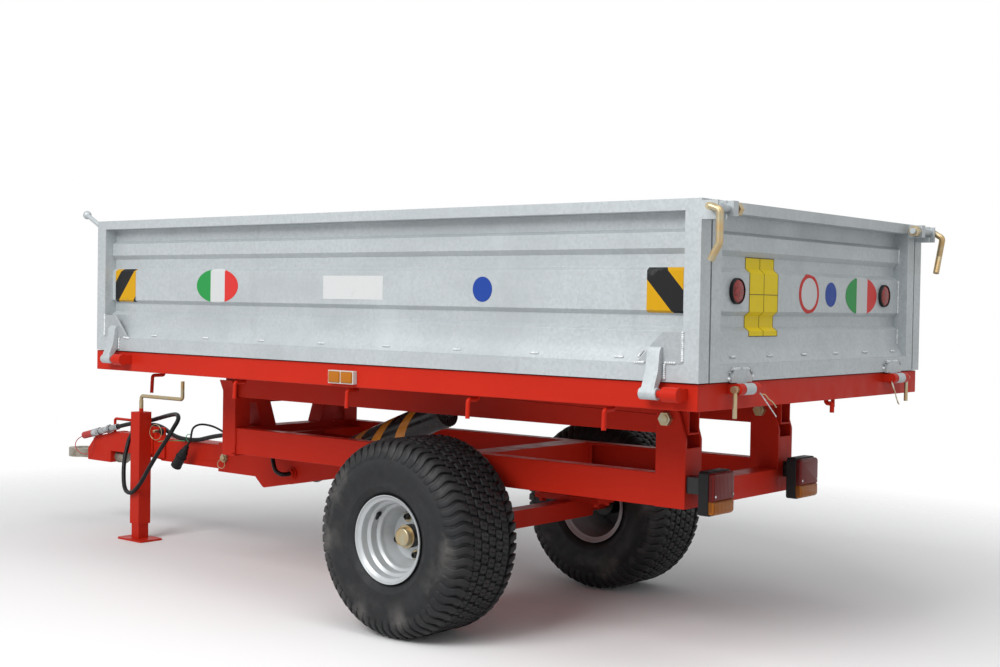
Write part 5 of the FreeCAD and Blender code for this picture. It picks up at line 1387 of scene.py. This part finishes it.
def tailgate_films():
    low, high = YELLOW_HEIGHTS
    left, right = YELLOW_PANEL
    middle = (left + right) / 2
    panel("yellow_panel", YELLOW_PANEL, low, high, 0, YELLOW_FILM, "tailgate")
    for name, span, start, end in (("upright", (middle - PANEL_LINE / 2, middle + PANEL_LINE / 2), low, high),
                                   ("level", YELLOW_PANEL, PANEL_LEVEL, PANEL_LEVEL + PANEL_LINE),
                                   ("top", YELLOW_PANEL, high - PANEL_LINE, high),
                                   ("foot", YELLOW_PANEL, low, low + PANEL_LINE),
                                   ("left", (right - PANEL_LINE, right), low, high),
                                   ("right", (left, left + PANEL_LINE), low, high)):
        panel("panel_line_" + name, span, start, end, 0, LINE_FILM, "tailgate", 2 * FILM_THICK)
    oval("limit_ring", LIMIT_SPOT, 0, RED_FILM, "tailgate")
    oval("limit_face", LIMIT_FACE, 0, WHITE_FILM, "tailgate", 2 * FILM_THICK)
    oval("tail_blue", TAIL_BLUE, 0, BLUE_FILM, "tailgate")
    oval("tail_oval", TAIL_OVAL, 0, TAIL_STRIPES, "tailgate")
    for index, y in enumerate(REFLECTORS):
        origin = spot(TAIL_FLAT - 0.2, y, REFLECTOR_HEIGHT)
        rim = turned(RIM_PROFILE, origin, (-1, 0, 0), steps=56, closed=True)
        piece("reflector_rim_%d" % index, as_mesh("rim", rim), BLACK_PLASTIC, "tailgate", smooth=35)
        dome = turned(DOME_PROFILE, origin, (-1, 0, 0), steps=56)
        piece("reflector_%d" % index, as_mesh("dome", dome), REFLECTOR_RED, "tailgate", smooth=40)


tailgate_films()


# Floor and light: a pale floor that fades into a white world, with a broad soft lamp on the left side,
# where the photograph's light comes from, one high behind for the sky, and a weak one low behind. A lamp
# is its place and its target in metres, its size and its power.
FLOOR_REACH = 8
FLOOR_DROP = 0.0005
FLOOR_FADE = (1.6, 3.2)
WORLD_LIGHT = 0.34
KEY = ((-0.4, 4.8, 3.9), (0, 0, 0.5), 3.0, 232)
FILL = ((-5.5, 0.2, 1.8), (0, 0, 0.5), 3.0, 12)
SKY = ((-3.0, 1.6, 5.2), (-0.4, 0, 0.5), 4.0, 118)


def floor():
    mesh = bpy.data.meshes.new("floor")
    reach = FLOOR_REACH
    mesh.from_pydata([(-reach, -reach, 0), (reach, -reach, 0), (reach, reach, 0), (-reach, reach, 0)], [],
                     [(0, 1, 2, 3)])
    made = bpy.data.objects.new("floor", mesh)
    made.location.z = -FLOOR_DROP
    scene.collection.objects.link(made)
    paint = Finish("floor", (0.93, 0.93, 0.93), 0.9)
    fade = paint.node("VectorMath", operation="LENGTH")
    paint.link(paint.coords, fade.inputs[0])
    share = paint.between(fade.outputs["Value"], 0, 1, *FLOOR_FADE)
    clear = paint.node("BsdfTransparent")
    mix = paint.node("MixShader")
    paint.link(share, mix.inputs[0])
    paint.link(paint.main.outputs[0], mix.inputs[1])
    paint.link(clear.outputs[0], mix.inputs[2])
    paint.link(mix.outputs[0], paint.tree.nodes["Material Output"].inputs["Surface"])
    mesh.materials.append(paint.material)


def world():
    made = bpy.data.worlds.new("studio")
    scene.world = made
    made.use_nodes = True
    nodes = made.node_tree.nodes
    links = made.node_tree.links
    shade = nodes["Background"]
    shade.inputs["Color"].default_value = (0.96, 0.98, 1, 1)
    shade.inputs["Strength"].default_value = WORLD_LIGHT
    white = nodes.new("ShaderNodeBackground")
    white.inputs["Color"].default_value = (1, 1, 1, 1)
    white.inputs["Strength"].default_value = 1
    path = nodes.new("ShaderNodeLightPath")
    either = nodes.new("ShaderNodeMath")
    either.operation = "MAXIMUM"
    also = nodes.new("ShaderNodeMath")
    also.operation = "MAXIMUM"
    mix = nodes.new("ShaderNodeMixShader")
    links.new(path.outputs["Is Camera Ray"], either.inputs[0])
    links.new(path.outputs["Is Glossy Ray"], either.inputs[1])
    links.new(either.outputs[0], also.inputs[0])
    links.new(path.outputs["Is Transmission Ray"], also.inputs[1])
    links.new(also.outputs[0], mix.inputs[0])
    links.new(shade.outputs[0], mix.inputs[1])
    links.new(white.outputs[0], mix.inputs[2])
    links.new(mix.outputs[0], nodes["World Output"].inputs["Surface"])


def lamp(name, place, target, size, power):
    data = bpy.data.lights.new(name, "AREA")
    data.energy = power
    data.size = size
    made = bpy.data.objects.new(name, data)
    made.location = place
    made.rotation_euler = (Vector(target) - Vector(place)).to_track_quat("-Z", "Y").to_euler()
    scene.collection.objects.link(made)


floor()
world()
lamp("key", *KEY)
lamp("fill", *FILL)
lamp("sky", *SKY)
